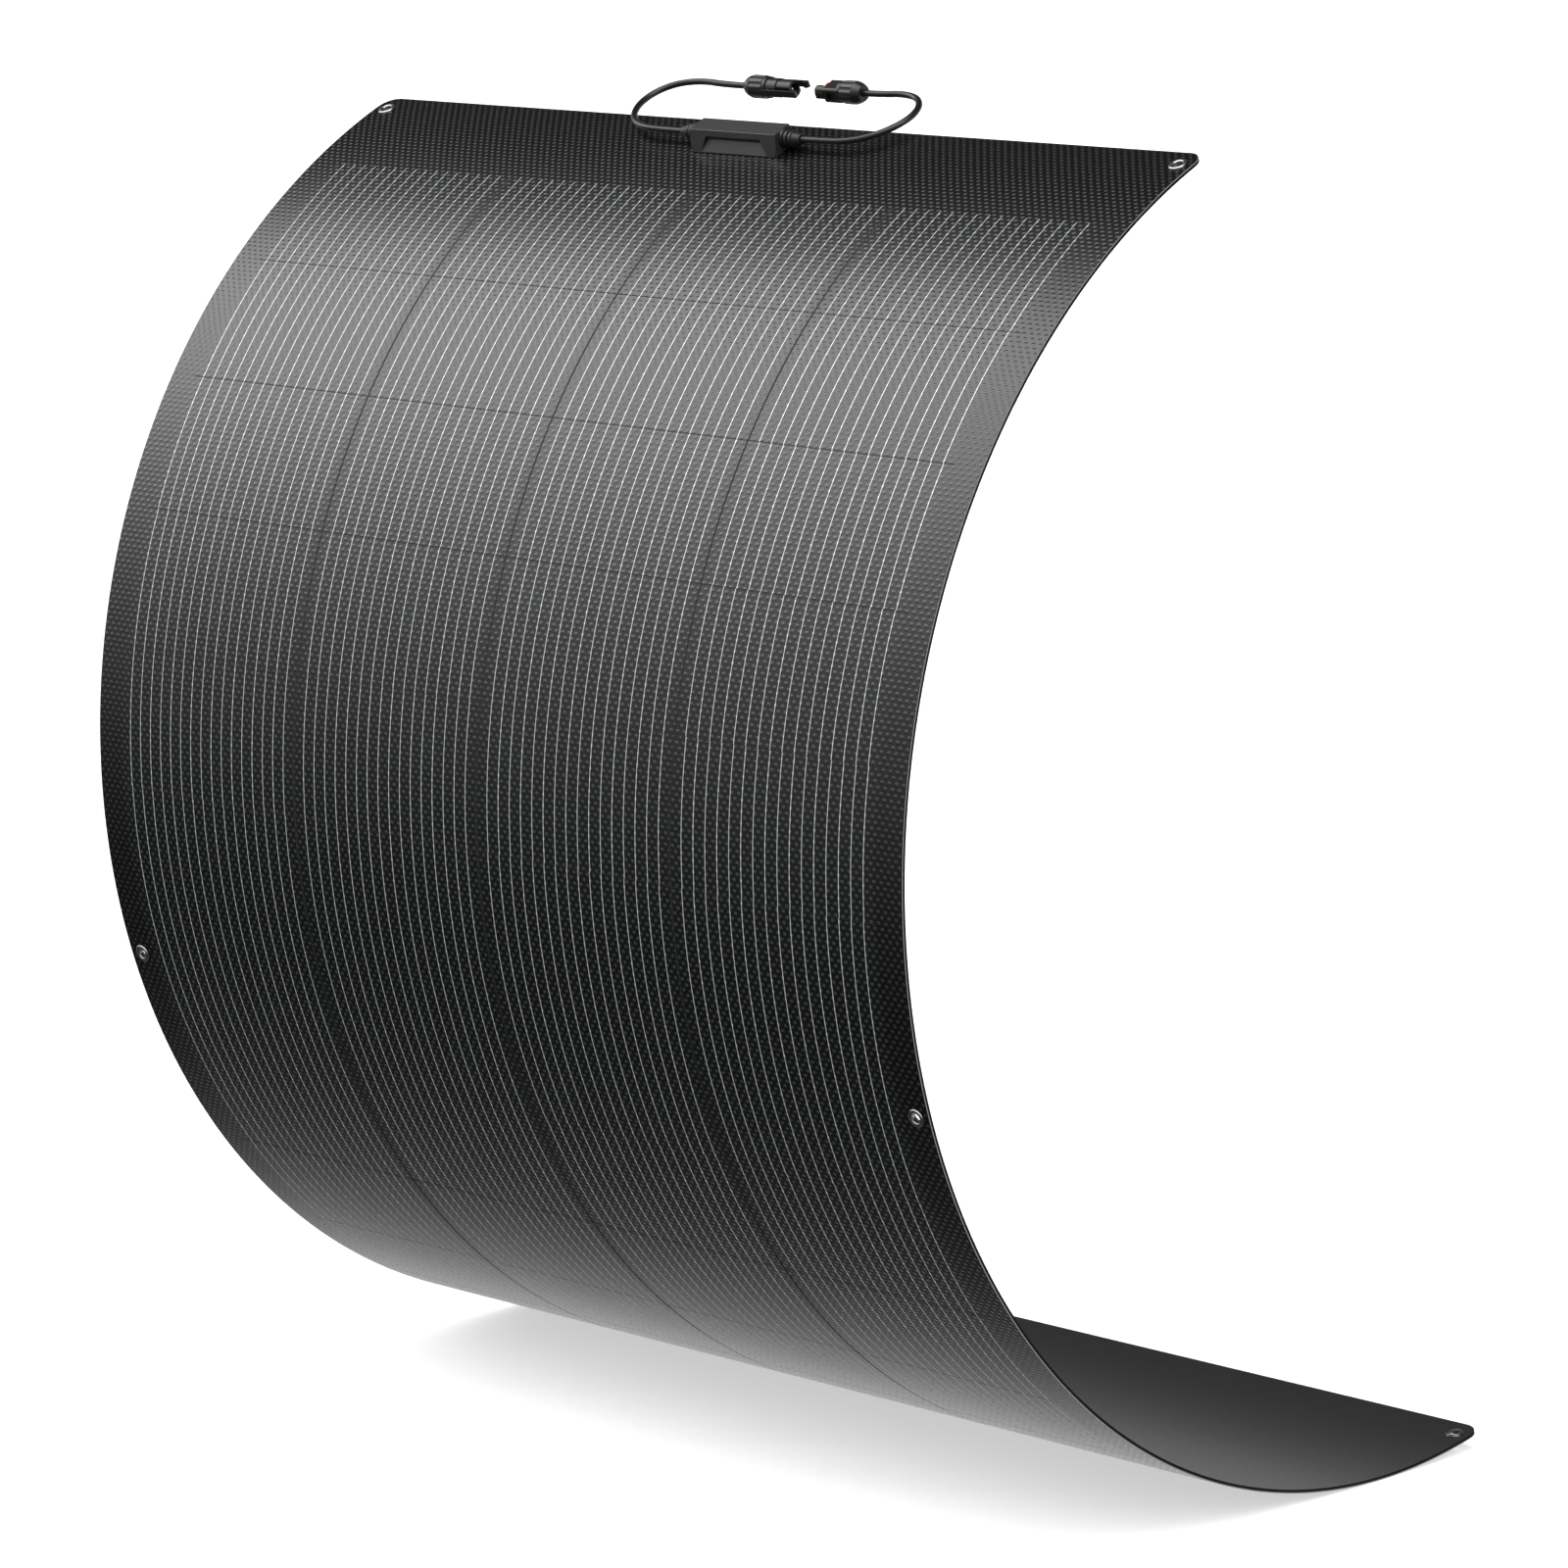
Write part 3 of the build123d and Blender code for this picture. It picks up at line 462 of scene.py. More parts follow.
@dataclass(frozen=True)
class Finish:
    """An even finish with fine grain, a cloudy colour and a roughness that follows the grain.

    Real mould grain is some hundredths of a millimetre across, too fine to show, so
    every grain here is drawn several times coarser.

    Attributes:
        name: The material's name, after what the real one is.
        colour: sRGB hex colour.
        cloud: sRGB hex colour that it drifts to, in soft patches.
        roughness: Middle of the roughness range.
        metallic: 1 for a bare metal, else 0.
        ior: Index of refraction of a material that is not metal.
        specular: Reflectance level at normal incidence.
        grain: How the surface was made.
        grain_mm: Size of one grain.
        relief_mm: Height of the grain.
        cloud_mm: Size of a patch of the cloudy colour.
        uneven: How far the grain moves the roughness up and down.
    """

    name: str
    colour: str
    cloud: str
    roughness: float = 0.45
    metallic: float = 0.0
    ior: float = 1.5
    specular: float = 0.5
    grain: Grain = Grain.MOULDED
    grain_mm: float = 0.4
    relief_mm: float = 0.01
    cloud_mm: float = 14.0
    uneven: float = 0.07

    def _stretch(self) -> tuple[float, float, float]:
        """How far the grain is drawn out along each axis."""
        return {
            Grain.MOULDED: (1.0, 1.0, 1.0),
            Grain.BRUSHED: (0.06, 1.0, 1.0),
            Grain.POLISHED: (1.0, 1.0, 1.0),
            Grain.DRAWN: (0.15, 1.0, 1.0),
        }[self.grain]

    def build(self) -> bpy.types.Material:
        """Makes the material.

        Returns:
            The finished material.
        """
        material = bpy.data.materials.new(self.name)
        material.use_nodes = True
        tree = material.node_tree
        shader = tree.nodes["Principled BSDF"]
        shader.inputs["Metallic"].default_value = self.metallic
        shader.inputs["Specular IOR Level"].default_value = self.specular
        if not self.metallic:
            shader.inputs["IOR"].default_value = self.ior
        place = add_node(tree, "ShaderNodeTexCoord")
        drawn = add_node(
            tree, "ShaderNodeMapping", {"Vector": place.outputs["Object"], "Scale": self._stretch()}
        )
        grain = add_node(
            tree,
            "ShaderNodeTexNoise",
            {
                "Vector": drawn.outputs[0],
                "Scale": 1 / (self.grain_mm * MM),
                "Detail": 3.0,
                "Roughness": 0.6,
            },
        )
        cloud = add_node(
            tree,
            "ShaderNodeTexNoise",
            {"Vector": place.outputs["Object"], "Scale": 1 / (self.cloud_mm * MM), "Detail": 2.0},
        )
        tone = add_node(
            tree,
            "ShaderNodeMix",
            {0: cloud.outputs["Fac"], 6: linear(self.colour), 7: linear(self.cloud)},
            data_type="RGBA",
        )
        rough = add_node(
            tree,
            "ShaderNodeMapRange",
            {
                "Value": grain.outputs["Fac"],
                "From Min": NOISE_RANGE[0],
                "From Max": NOISE_RANGE[1],
                "To Min": self.roughness - self.uneven,
                "To Max": self.roughness + self.uneven,
            },
        )
        relief = add_node(
            tree,
            "ShaderNodeBump",
            {"Height": grain.outputs["Fac"], "Strength": 1.0, "Distance": self.relief_mm * MM},
        )
        tree.links.new(tone.outputs[2], shader.inputs["Base Color"])
        tree.links.new(rough.outputs["Result"], shader.inputs["Roughness"])
        tree.links.new(relief.outputs[0], shader.inputs["Normal"])
        return material


@dataclass(frozen=True)
class EmbossedFilm:
    """Fluoropolymer film rolled with staggered ovals, like a coarse woven cloth.

    The ovals stand 7.0 mm apart across the sheet in rows 4.2 mm apart, each row half a
    step aside from the last. Their crowns carry a painted highlight, and the valleys keep the
    darker base colour, which also stands as painted shade between the ovals. Their flanks turn
    the reflection, so the gloss of the black sheet breaks up into flecks.

    Attributes:
        name: The material's name.
        valley_base_and_shade: sRGB hex colour between the ovals, the base colour, also standing as painted
            shade there.
        painted_crown_highlight: sRGB hex colour on the ovals, a painted highlight.
        roughness: Roughness of the film.
        metallic: Share of bare metal that shows through the film.
        specular: Reflectance level at normal incidence.
        relief_mm: Height of an oval.
        across_mm: Pitch of the ovals across the sheet.
        row_mm: Pitch of their rows along the sheet.
        oval_mm: Width and length of one oval.
        cloud_mm: Size of the patches in which the painted highlight on the crowns is weaker.
        dimmest_crown_highlight: Share of the painted highlight that the dimmest of the crowns keeps.
        ior: Index of refraction of the fluoropolymer.
        gap_roughness: Roughness of the film over the gaps between cells.
        cell_field: Cell field as (half width, first distance, last distance), where the
            film is dull and black so that only the gaps between cells show, or None.
    """

    name: str
    valley_base_and_shade: str
    painted_crown_highlight: str
    roughness: float = 0.26
    metallic: float = 0.0
    specular: float = 0.5
    relief_mm: float = 0.24
    across_mm: float = 7.0
    row_mm: float = 4.2
    oval_mm: tuple[float, float] = (4.4, 3.1)
    cloud_mm: float = 3.1
    dimmest_crown_highlight: float = 0.75
    ior: float = 1.42
    gap_roughness: float = 0.8
    cell_field: tuple[float, float, float] | None = None

    def build(self) -> bpy.types.Material:
        """Makes the material.

        Returns:
            The finished material, which reads the flat coordinates of its piece.
        """
        material = bpy.data.materials.new(self.name)
        material.use_nodes = True
        tree = material.node_tree
        shader = tree.nodes["Principled BSDF"]
        shader.inputs["IOR"].default_value = self.ior
        shader.inputs["Metallic"].default_value = self.metallic
        shader.inputs["Specular IOR Level"].default_value = self.specular
        flat = add_node(tree, "ShaderNodeAttribute", attribute_name=FLAT)
        apart = add_node(tree, "ShaderNodeSeparateXYZ", {0: flat.outputs["Vector"]})
        oval = self._ovals(tree, apart)
        cloud = add_node(
            tree,
            "ShaderNodeTexNoise",
            {"Vector": flat.outputs["Vector"], "Scale": 1 / (self.cloud_mm * MM), "Detail": 2.0},
        )
        uneven = add_node(
            tree,
            "ShaderNodeMapRange",
            {
                "Value": cloud.outputs["Fac"],
                "From Min": NOISE_RANGE[0],
                "From Max": NOISE_RANGE[1],
                "To Min": self.dimmest_crown_highlight,
            },
        )
        # Painted highlight: the tops of the ovals take the paler colour, weaker in soft patches; the valleys
        # keep the darker base colour as painted shade.
        lit = add_node(tree, MATH, {0: oval, 1: uneven.outputs["Result"]}, operation="MULTIPLY")
        tone = add_node(
            tree,
            "ShaderNodeMix",
            {0: lit.outputs[0], 6: linear(self.valley_base_and_shade), 7: linear(self.painted_crown_highlight)},
            data_type="RGBA",
        )
        relief = add_node(
            tree, "ShaderNodeBump", {"Height": oval, "Strength": 1.0, "Distance": self.relief_mm * MM}
        )
        colour = tone.outputs[2]
        shader.inputs["Roughness"].default_value = self.roughness
        if self.cell_field:
            inside = self._inside(tree, apart)
            dulled = add_node(
                tree,
                "ShaderNodeMix",
                {0: inside, 6: tone.outputs[2], 7: linear("#000000")},
                data_type="RGBA",
            )
            spread = add_node(
                tree,
                "ShaderNodeMapRange",
                {"Value": inside, "To Min": self.roughness, "To Max": self.gap_roughness},
            )
            colour = dulled.outputs[2]
            tree.links.new(spread.outputs["Result"], shader.inputs["Roughness"])
        tree.links.new(colour, shader.inputs["Base Color"])
        tree.links.new(relief.outputs[0], shader.inputs["Normal"])
        return material

    def _ovals(self, tree: bpy.types.NodeTree, apart: bpy.types.Node) -> bpy.types.NodeSocket:
        """Draws the staggered ovals as domes.

        Args:
            tree: The material's tree.
            apart: The node that splits the flat coordinates.

        Returns:
            A socket that is 1 at the top of each oval and 0 between the ovals.
        """
        rows_per_metre, columns_per_metre = 1 / (self.row_mm * MM), 1 / (self.across_mm * MM)
        along = add_node(tree, MATH, {0: apart.outputs[1], 1: rows_per_metre}, operation="MULTIPLY")
        row = add_node(tree, MATH, {0: along.outputs[0]}, operation="FLOOR")
        across = add_node(tree, MATH, {0: apart.outputs[0], 1: columns_per_metre}, operation="MULTIPLY")
        staggered = add_node(
            tree, MATH, {0: row.outputs[0], 1: 0.5, 2: across.outputs[0]}, operation="MULTIPLY_ADD"
        )
        squares = []
        for position, pitch, half in (
            (staggered, self.across_mm, self.oval_mm[0] / 2),
            (along, self.row_mm, self.oval_mm[1] / 2),
        ):
            share = add_node(tree, MATH, {0: position.outputs[0]}, operation="FRACT")
            middle = add_node(tree, MATH, {0: share.outputs[0], 1: 0.5}, operation="SUBTRACT")
            scaled = add_node(tree, MATH, {0: middle.outputs[0], 1: pitch / half}, operation="MULTIPLY")
            square = add_node(tree, MATH, {0: scaled.outputs[0], 1: 2.0}, operation="POWER")
            squares.append(square.outputs[0])
        reach = add_node(tree, MATH, {0: squares[0], 1: squares[1]}, operation="ADD")
        dome = add_node(tree, MATH, {0: 1.0, 1: reach.outputs[0]}, operation="SUBTRACT")
        floored = add_node(tree, MATH, {0: dome.outputs[0], 1: 0.0}, operation="MAXIMUM")
        return floored.outputs[0]

    def _inside(self, tree: bpy.types.NodeTree, apart: bpy.types.Node) -> bpy.types.NodeSocket:
        """Marks the cell field.

        Args:
            tree: The material's tree.
            apart: The node that splits the flat coordinates.

        Returns:
            A socket that is 1 inside the field and 0 outside.
        """
        half, first, last = self.cell_field
        side = add_node(tree, MATH, {0: apart.outputs[0]}, operation="ABSOLUTE")
        within = add_node(tree, MATH, {0: side.outputs[0], 1: half}, operation="LESS_THAN")
        below = add_node(tree, MATH, {0: apart.outputs[1], 1: -first}, operation="LESS_THAN")
        above = add_node(tree, MATH, {0: apart.outputs[1], 1: -last}, operation="GREATER_THAN")
        tall = add_node(tree, MATH, {0: below.outputs[0], 1: above.outputs[0]}, operation="MULTIPLY")
        return add_node(
            tree, MATH, {0: within.outputs[0], 1: tall.outputs[0]}, operation="MULTIPLY"
        ).outputs[0]


# ------------------------------------------------------------------ the laminate
@dataclass(frozen=True)
class EyeletSpots:
    """How far the middles of the six eyelets are in from the sheet's edges."""

    side: float = 13.2 * MM
    end: float = 17.2 * MM


@dataclass
class Laminate:
    """Film, encapsulant and back sheet: four layers cut to one outline and bent."""

    curl: Curl
    trees: CurlTrees
    corner_radius: float = 14 * MM
    eyelet_hole: float = 4.7 * MM
    spots: EyeletSpots = EyeletSpots()
    slice_pitch: float = 5 * MM
    corner_steps: int = 8
    hole_steps: int = 24
    layers: tuple[tuple[str, float, float], ...] = (
        ("front_film", 0.0, 0.3 * MM),
        ("front_encapsulant", 0.3 * MM, 0.5 * MM),
        ("rear_encapsulant", 0.8 * MM, 1.5 * MM),
        ("back_sheet", 2.3 * MM, 0.7 * MM),
    )

    def flat_layer(self, name: str, depth: float, thickness: float) -> bpy.types.Mesh:
        """Cuts one layer flat, with its corners, its eyelet holes and slices to bend at.

        Args:
            name: The layer's name.
            depth: Depth of its upper face below the cell-side face.
            thickness: Its thickness.

        Returns:
            A closed flat mesh, in flat coordinates.
        """
        outline = bpy.data.curves.new(name + "_outline", "CURVE")
        outline.dimensions = "2D"
        outline.fill_mode = "BOTH"
        outline.extrude = thickness / 2
        for loop in self._loops():
            spline = outline.splines.new("POLY")
            spline.points.add(len(loop) - 1)
            for point, (x, y) in zip(spline.points, loop):
                point.co = (x, y, 0.0, 1.0)
            spline.use_cyclic_u = True
        cutter = bpy.data.objects.new(name + "_outline", outline)
        bpy.context.scene.collection.objects.link(cutter)
        graph = bpy.context.evaluated_depsgraph_get()
        mesh = bpy.data.meshes.new_from_object(cutter.evaluated_get(graph))
        bpy.data.objects.remove(cutter)
        shape = bmesh.new()
        shape.from_mesh(mesh)
        bmesh.ops.remove_doubles(shape, verts=shape.verts, dist=1e-6)
        for slice_number in range(1, round(self.curl.length / self.slice_pitch)):
            bmesh.ops.bisect_plane(
                shape,
                geom=[*shape.verts, *shape.edges, *shape.faces],
                plane_co=(0, -slice_number * self.slice_pitch, 0),
                plane_no=(0, 1, 0),
                dist=1e-7,
            )
        bmesh.ops.translate(shape, verts=shape.verts, vec=(0, 0, -depth - thickness / 2))
        bmesh.ops.recalc_face_normals(shape, faces=shape.faces)
        shape.to_mesh(mesh)
        shape.free()
        return mesh

    def _loops(self) -> list[list[tuple[float, float]]]:
        """The outline with rounded corners, then each eyelet hole."""
        half, length, radius = self.curl.width / 2, self.curl.length, self.corner_radius
        corners = ((half, 0, 0), (-half, 0, 90), (-half, -length, 180), (half, -length, 270))
        outline = []
        for x, y, start in corners:
            middle_x = x - math.copysign(radius, x)
            middle_y = y - radius if y == 0 else y + radius
            for step in range(self.corner_steps + 1):
                turn = math.radians(start + step * 90 / self.corner_steps)
                outline.append((middle_x + radius * math.cos(turn), middle_y + radius * math.sin(turn)))
        loops = [outline]
        side, end = self.spots.side, self.spots.end
        turns = [math.radians(step * 360 / self.hole_steps) for step in range(self.hole_steps)]
        for x in (half - side, side - half):
            for along in (end, length / 2, length - end):
                loops.append(
                    [
                        (x + self.eyelet_hole * math.cos(t), self.eyelet_hole * math.sin(t) - along)
                        for t in turns
                    ]
                )
        return loops

    def build(
        self, faces: Mapping[str, bpy.types.Material], walls: Mapping[str, bpy.types.Material]
    ) -> None:
        """Makes the four layers and puts each in the place of its node.

        Args:
            faces: Material of each layer's broad faces, by node.
            walls: Material of each layer's cut edge, by node.
        """
        for name, depth, thickness in self.layers:
            tree = self.trees.layer(faces[name], walls[name])
            mesh = self.flat_layer(name, depth, thickness)
            piece = run_tree(tree, "curled_" + name, mesh, self.curl.sizes())
            settle(piece, name)


# ------------------------------------------------------------------ cells and wires
@dataclass
class CellField:
    """Four columns of thin-film cells and the collector wires on them."""

    curl: Curl
    trees: CurlTrees
    columns: int = 4
    rows: int = 13
    side_margin: float = 27 * MM
    top_margin: float = 96 * MM
    bottom_margin: float = 52 * MM
    column_gap: float = 1.8 * MM
    row_gap: float = 0.8 * MM
    wires: int = 16
    wire_inset: float = 11 * MM
    wire_width: float = 0.7 * MM
    wire_shift: float = 0.55 * MM  # each cell's wires sit a little aside from the next cell's
    cell_proud: float = 0.03 * MM  # cells and wires stand above the film, which is drawn opaque
    wire_proud: float = 0.09 * MM
    sunk: float = 0.05 * MM  # how far both reach down into the film
    gap_share: float = 0.6  # share of the gap between two cells that a wire spans
    cell_cuts: int = 20
    wire_cuts: int = 11

    @property
    def cell_width(self) -> float:
        """Width of one cell."""
        inside = self.curl.width - 2 * self.side_margin
        return (inside - (self.columns - 1) * self.column_gap) / self.columns

    @property
    def cell_length(self) -> float:
        """Length of one cell along the curl."""
        inside = self.curl.length - self.top_margin - self.bottom_margin
        return (inside - (self.rows - 1) * self.row_gap) / self.rows

    @property
    def extent(self) -> tuple[float, float, float]:
        """The field as (half width, first distance, last distance)."""
        half = self.curl.width / 2 - self.side_margin
        return half, self.top_margin, self.curl.length - self.bottom_margin

    def plate(self, name: str, width: float, length: float, high: float, cuts: int) -> bpy.types.Mesh:
        """Makes a thin closed plate that is sliced across so that it can bend.

        Args:
            name: The mesh's name.
            width: Size across the sheet.
            length: Size along the sheet.
            high: Height of its upper side above the film's face.
            cuts: Number of slices along it.

        Returns:
            The plate, centred on the origin of the flat coordinates.
        """
        shape = bmesh.new()
        low = -self.sunk
        rings = []
        for step in range(cuts + 1):
            y = length * (0.5 - step / cuts)
            corners = ((-width / 2, high), (width / 2, high), (width / 2, low), (-width / 2, low))
            rings.append([shape.verts.new((x, y, z)) for x, z in corners])
        for upper, lower in zip(rings, rings[1:]):
            for side in range(4):
                after = (side + 1) % 4
                shape.faces.new((upper[side], lower[side], lower[after], upper[after]))
        shape.faces.new(rings[0])
        shape.faces.new(rings[-1][::-1])
        return closed_mesh(name, shape)

    def build(self, cell: bpy.types.Material, wire: bpy.types.Material) -> None:
        """Makes the cells and wires of each column.

        Args:
            cell: Material of the cells under the film.
            wire: Material of the collector wires.
        """
        cell_tree, wire_tree = self.trees.repeated(cell), self.trees.repeated(wire)
        column_pitch = self.cell_width + self.column_gap
        row_pitch = self.cell_length + self.row_gap
        wire_pitch = (self.cell_width - 2 * self.wire_inset) / (self.wires - 1)
        for column in range(self.columns):
            left = self.side_margin - self.curl.width / 2 + column * column_pitch
            shared = {
                **self.curl.sizes(),
                "Rows": self.rows,
                "Row pitch": row_pitch,
                "First distance": self.top_margin + self.cell_length / 2,
                "Seed": column + 1,
            }
            plate = self.plate("cell", self.cell_width, self.cell_length, self.cell_proud, self.cell_cuts)
            cells = run_tree(
                cell_tree, f"cells_{column + 1}", plate, {**shared, "First x": left + self.cell_width / 2}
            )
            wire_length = self.cell_length + self.gap_share * self.row_gap
            strip = self.plate("wire", self.wire_width, wire_length, self.wire_proud, self.wire_cuts)
            wires = run_tree(
                wire_tree,
                f"wires_{column + 1}",
                strip,
                {
                    **shared,
                    "First x": left + self.wire_inset,
                    "Columns": self.wires,
                    "Column pitch": wire_pitch,
                    "Row shift": self.wire_shift,
                },
            )
            settle(cells, f"cell_column_{column + 1}")
            settle(wires, f"collector_wires_{column + 1}")


# ------------------------------------------------------------------ eyelets
@dataclass
class Eyelets:
    """Six rolled metal eyelets and the washers that they are flared over."""

    curl: Curl
    trees: CurlTrees
    bore: float = 4.0 * MM
    wall: float = 0.6 * MM
    flange: float = 7.2 * MM
    rim: float = 1.0 * MM
    washer: float = 0.6 * MM
    washer_gap: float = 0.05 * MM
    washer_edge: float = 0.12 * MM
    spots: EyeletSpots = EyeletSpots()
    segments: int = 48
    rim_steps: int = 12
    rim_fullness: float = 0.8  # power of the rim's sine: below 1 it is fuller than round

    @property
    def seat(self) -> float:
        """Height of the washer's upper face: its rim meets the curved back of the sheet."""
        return -self.curl.thickness - self.flange**2 / (2 * self.curl.bend_radius)

    def turned(self, name: str, profile: Sequence[tuple[float, float]]) -> bpy.types.Mesh:
        """Turns a closed profile about the upright axis.

        Args:
            name: The mesh's name.
            profile: (radius, height) points round the section.

        Returns:
            A closed ring with its faces outwards.
        """
        shape = bmesh.new()
        rings = []
        for step in range(self.segments):
            turn = 2 * math.pi * step / self.segments
            rings.append([shape.verts.new((r * math.cos(turn), r * math.sin(turn), z)) for r, z in profile])
        for near, far in zip(rings, rings[1:] + rings[:1]):
            for point in range(len(profile)):
                after = (point + 1) % len(profile)
                shape.faces.new((near[point], far[point], far[after], near[after]))
        return closed_mesh(name, shape)

    def eyelet_profile(self) -> list[tuple[float, float]]:
        """Section of the barrel, its rolled rim on the face and its flare on the back."""
        barrel = self.bore + self.wall
        back = self.seat - self.washer
        middle, half = (self.bore + self.flange) / 2, (self.flange - self.bore) / 2
        rim = [(self.bore, 0.0)]
        for step in range(1, self.rim_steps):
            turn = math.radians(180 - step * 180 / self.rim_steps)
            rim.append((middle + half * math.cos(turn), self.rim * math.sin(turn) ** self.rim_fullness))
        rim.append((self.flange, 0.0))
        flare = [
            (barrel, 0.0),
            (barrel, back),
            (barrel + self.wall, back),
            (barrel + 0.9 * self.wall, back - 0.6 * self.wall),
            (barrel, back - self.wall),
            (self.bore, back - 0.7 * self.wall),
        ]
        return rim + flare

    def washer_profile(self) -> list[tuple[float, float]]:
        """Section of the flat washer, with its outer edges broken."""
        high, low = self.seat, self.seat - self.washer
        inner, outer = self.bore + self.wall + self.washer_gap, self.flange
        edge = self.washer_edge
        return [
            (inner, high),
            (outer - edge, high),
            (outer, high - edge),
            (outer, low + edge),
            (outer - edge, low),
            (inner, low),
        ]

    def build(self, metal: bpy.types.Material) -> None:
        """Makes the eyelets and the washers.

        Args:
            metal: Their plated brass.
        """
        tree = self.trees.repeated(metal)
        sizes = {
            **self.curl.sizes(),
            "Columns": 2,
            "Column pitch": self.curl.width - 2 * self.spots.side,
            "Rows": 3,
            "Row pitch": (self.curl.length - 2 * self.spots.end) / 2,
            "First x": self.spots.side - self.curl.width / 2,
            "First distance": self.spots.end,
        }
        for name, node, profile in (
            ("rolled_eyelets", "eyelets", self.eyelet_profile()),
            ("back_washers", "eyelet_washers", self.washer_profile()),
        ):
            piece = run_tree(tree, name, self.turned(name, profile), sizes, sharp=40)
            settle(piece, node)


# ------------------------------------------------------------------ cables
@dataclass
class Cables:
    """The two short leads, from the box's glands to their connectors."""

    curl: Curl
    box_distance: float = 33 * MM
    height_mm: float = 9.0
    diameter: float = 5.2 * MM
    steps_round: int = 7
    steps_along: int = 16
    pin_route: tuple[tuple[float, float], ...] = (
        (-64.0, 0.0), (-86.0, 0.0), (-113.0, 1.8), (-133.0, 13.5), (-144.0, 33.0),
        (-142.0, 53.0), (-129.0, 67.0), (-105.5, 72.0), (-79.0, 69.0), (-53.0, 69.0),
    )
    socket_route: tuple[tuple[float, float], ...] = (
        (64.0, 0.0), (85.0, 0.0), (111.0, 1.2), (133.0, 13.5), (145.0, 35.0),
        (142.5, 53.5), (130.0, 67.0), (110.0, 71.5), (90.5, 69.0), (71.0, 69.0),
    )
    lengths: Mapping[str, float] = field(default_factory=lambda: {"pin": 0.2077, "socket": 0.1908})

    def build(self, jacket: bpy.types.Material, nodes: Mapping[str, bpy.types.Object]) -> None:
        """Args:
            jacket: The cables' jacket.
            nodes: The frame's nodes by name. Not used.
        """
        place = self.curl.place(0.0, self.box_distance)
        for side, route in (("pin", self.pin_route), ("socket", self.socket_route)):
            points = [place @ Vector((x * MM, y * MM, self.height_mm * MM)) for x, y in route]
            curve = bpy.data.curves.new(side + "_lead", "CURVE")
            curve.dimensions = "3D"
            curve.bevel_depth = self.diameter / 2
            curve.bevel_resolution = self.steps_round
            curve.resolution_u = self.steps_along
            curve.use_fill_caps = True
            spline = curve.splines.new("NURBS")
            spline.points.add(len(points) - 1)
            for control, point in zip(spline.points, points):
                control.co = (*point, 1.0)
            spline.order_u = 3
            spline.use_endpoint_u = True
            curve.materials.append(jacket)
            lead = bpy.data.objects.new(side + "_lead", curve)
            bpy.context.scene.collection.objects.link(lead)
            settle(lead, side + "_cable")


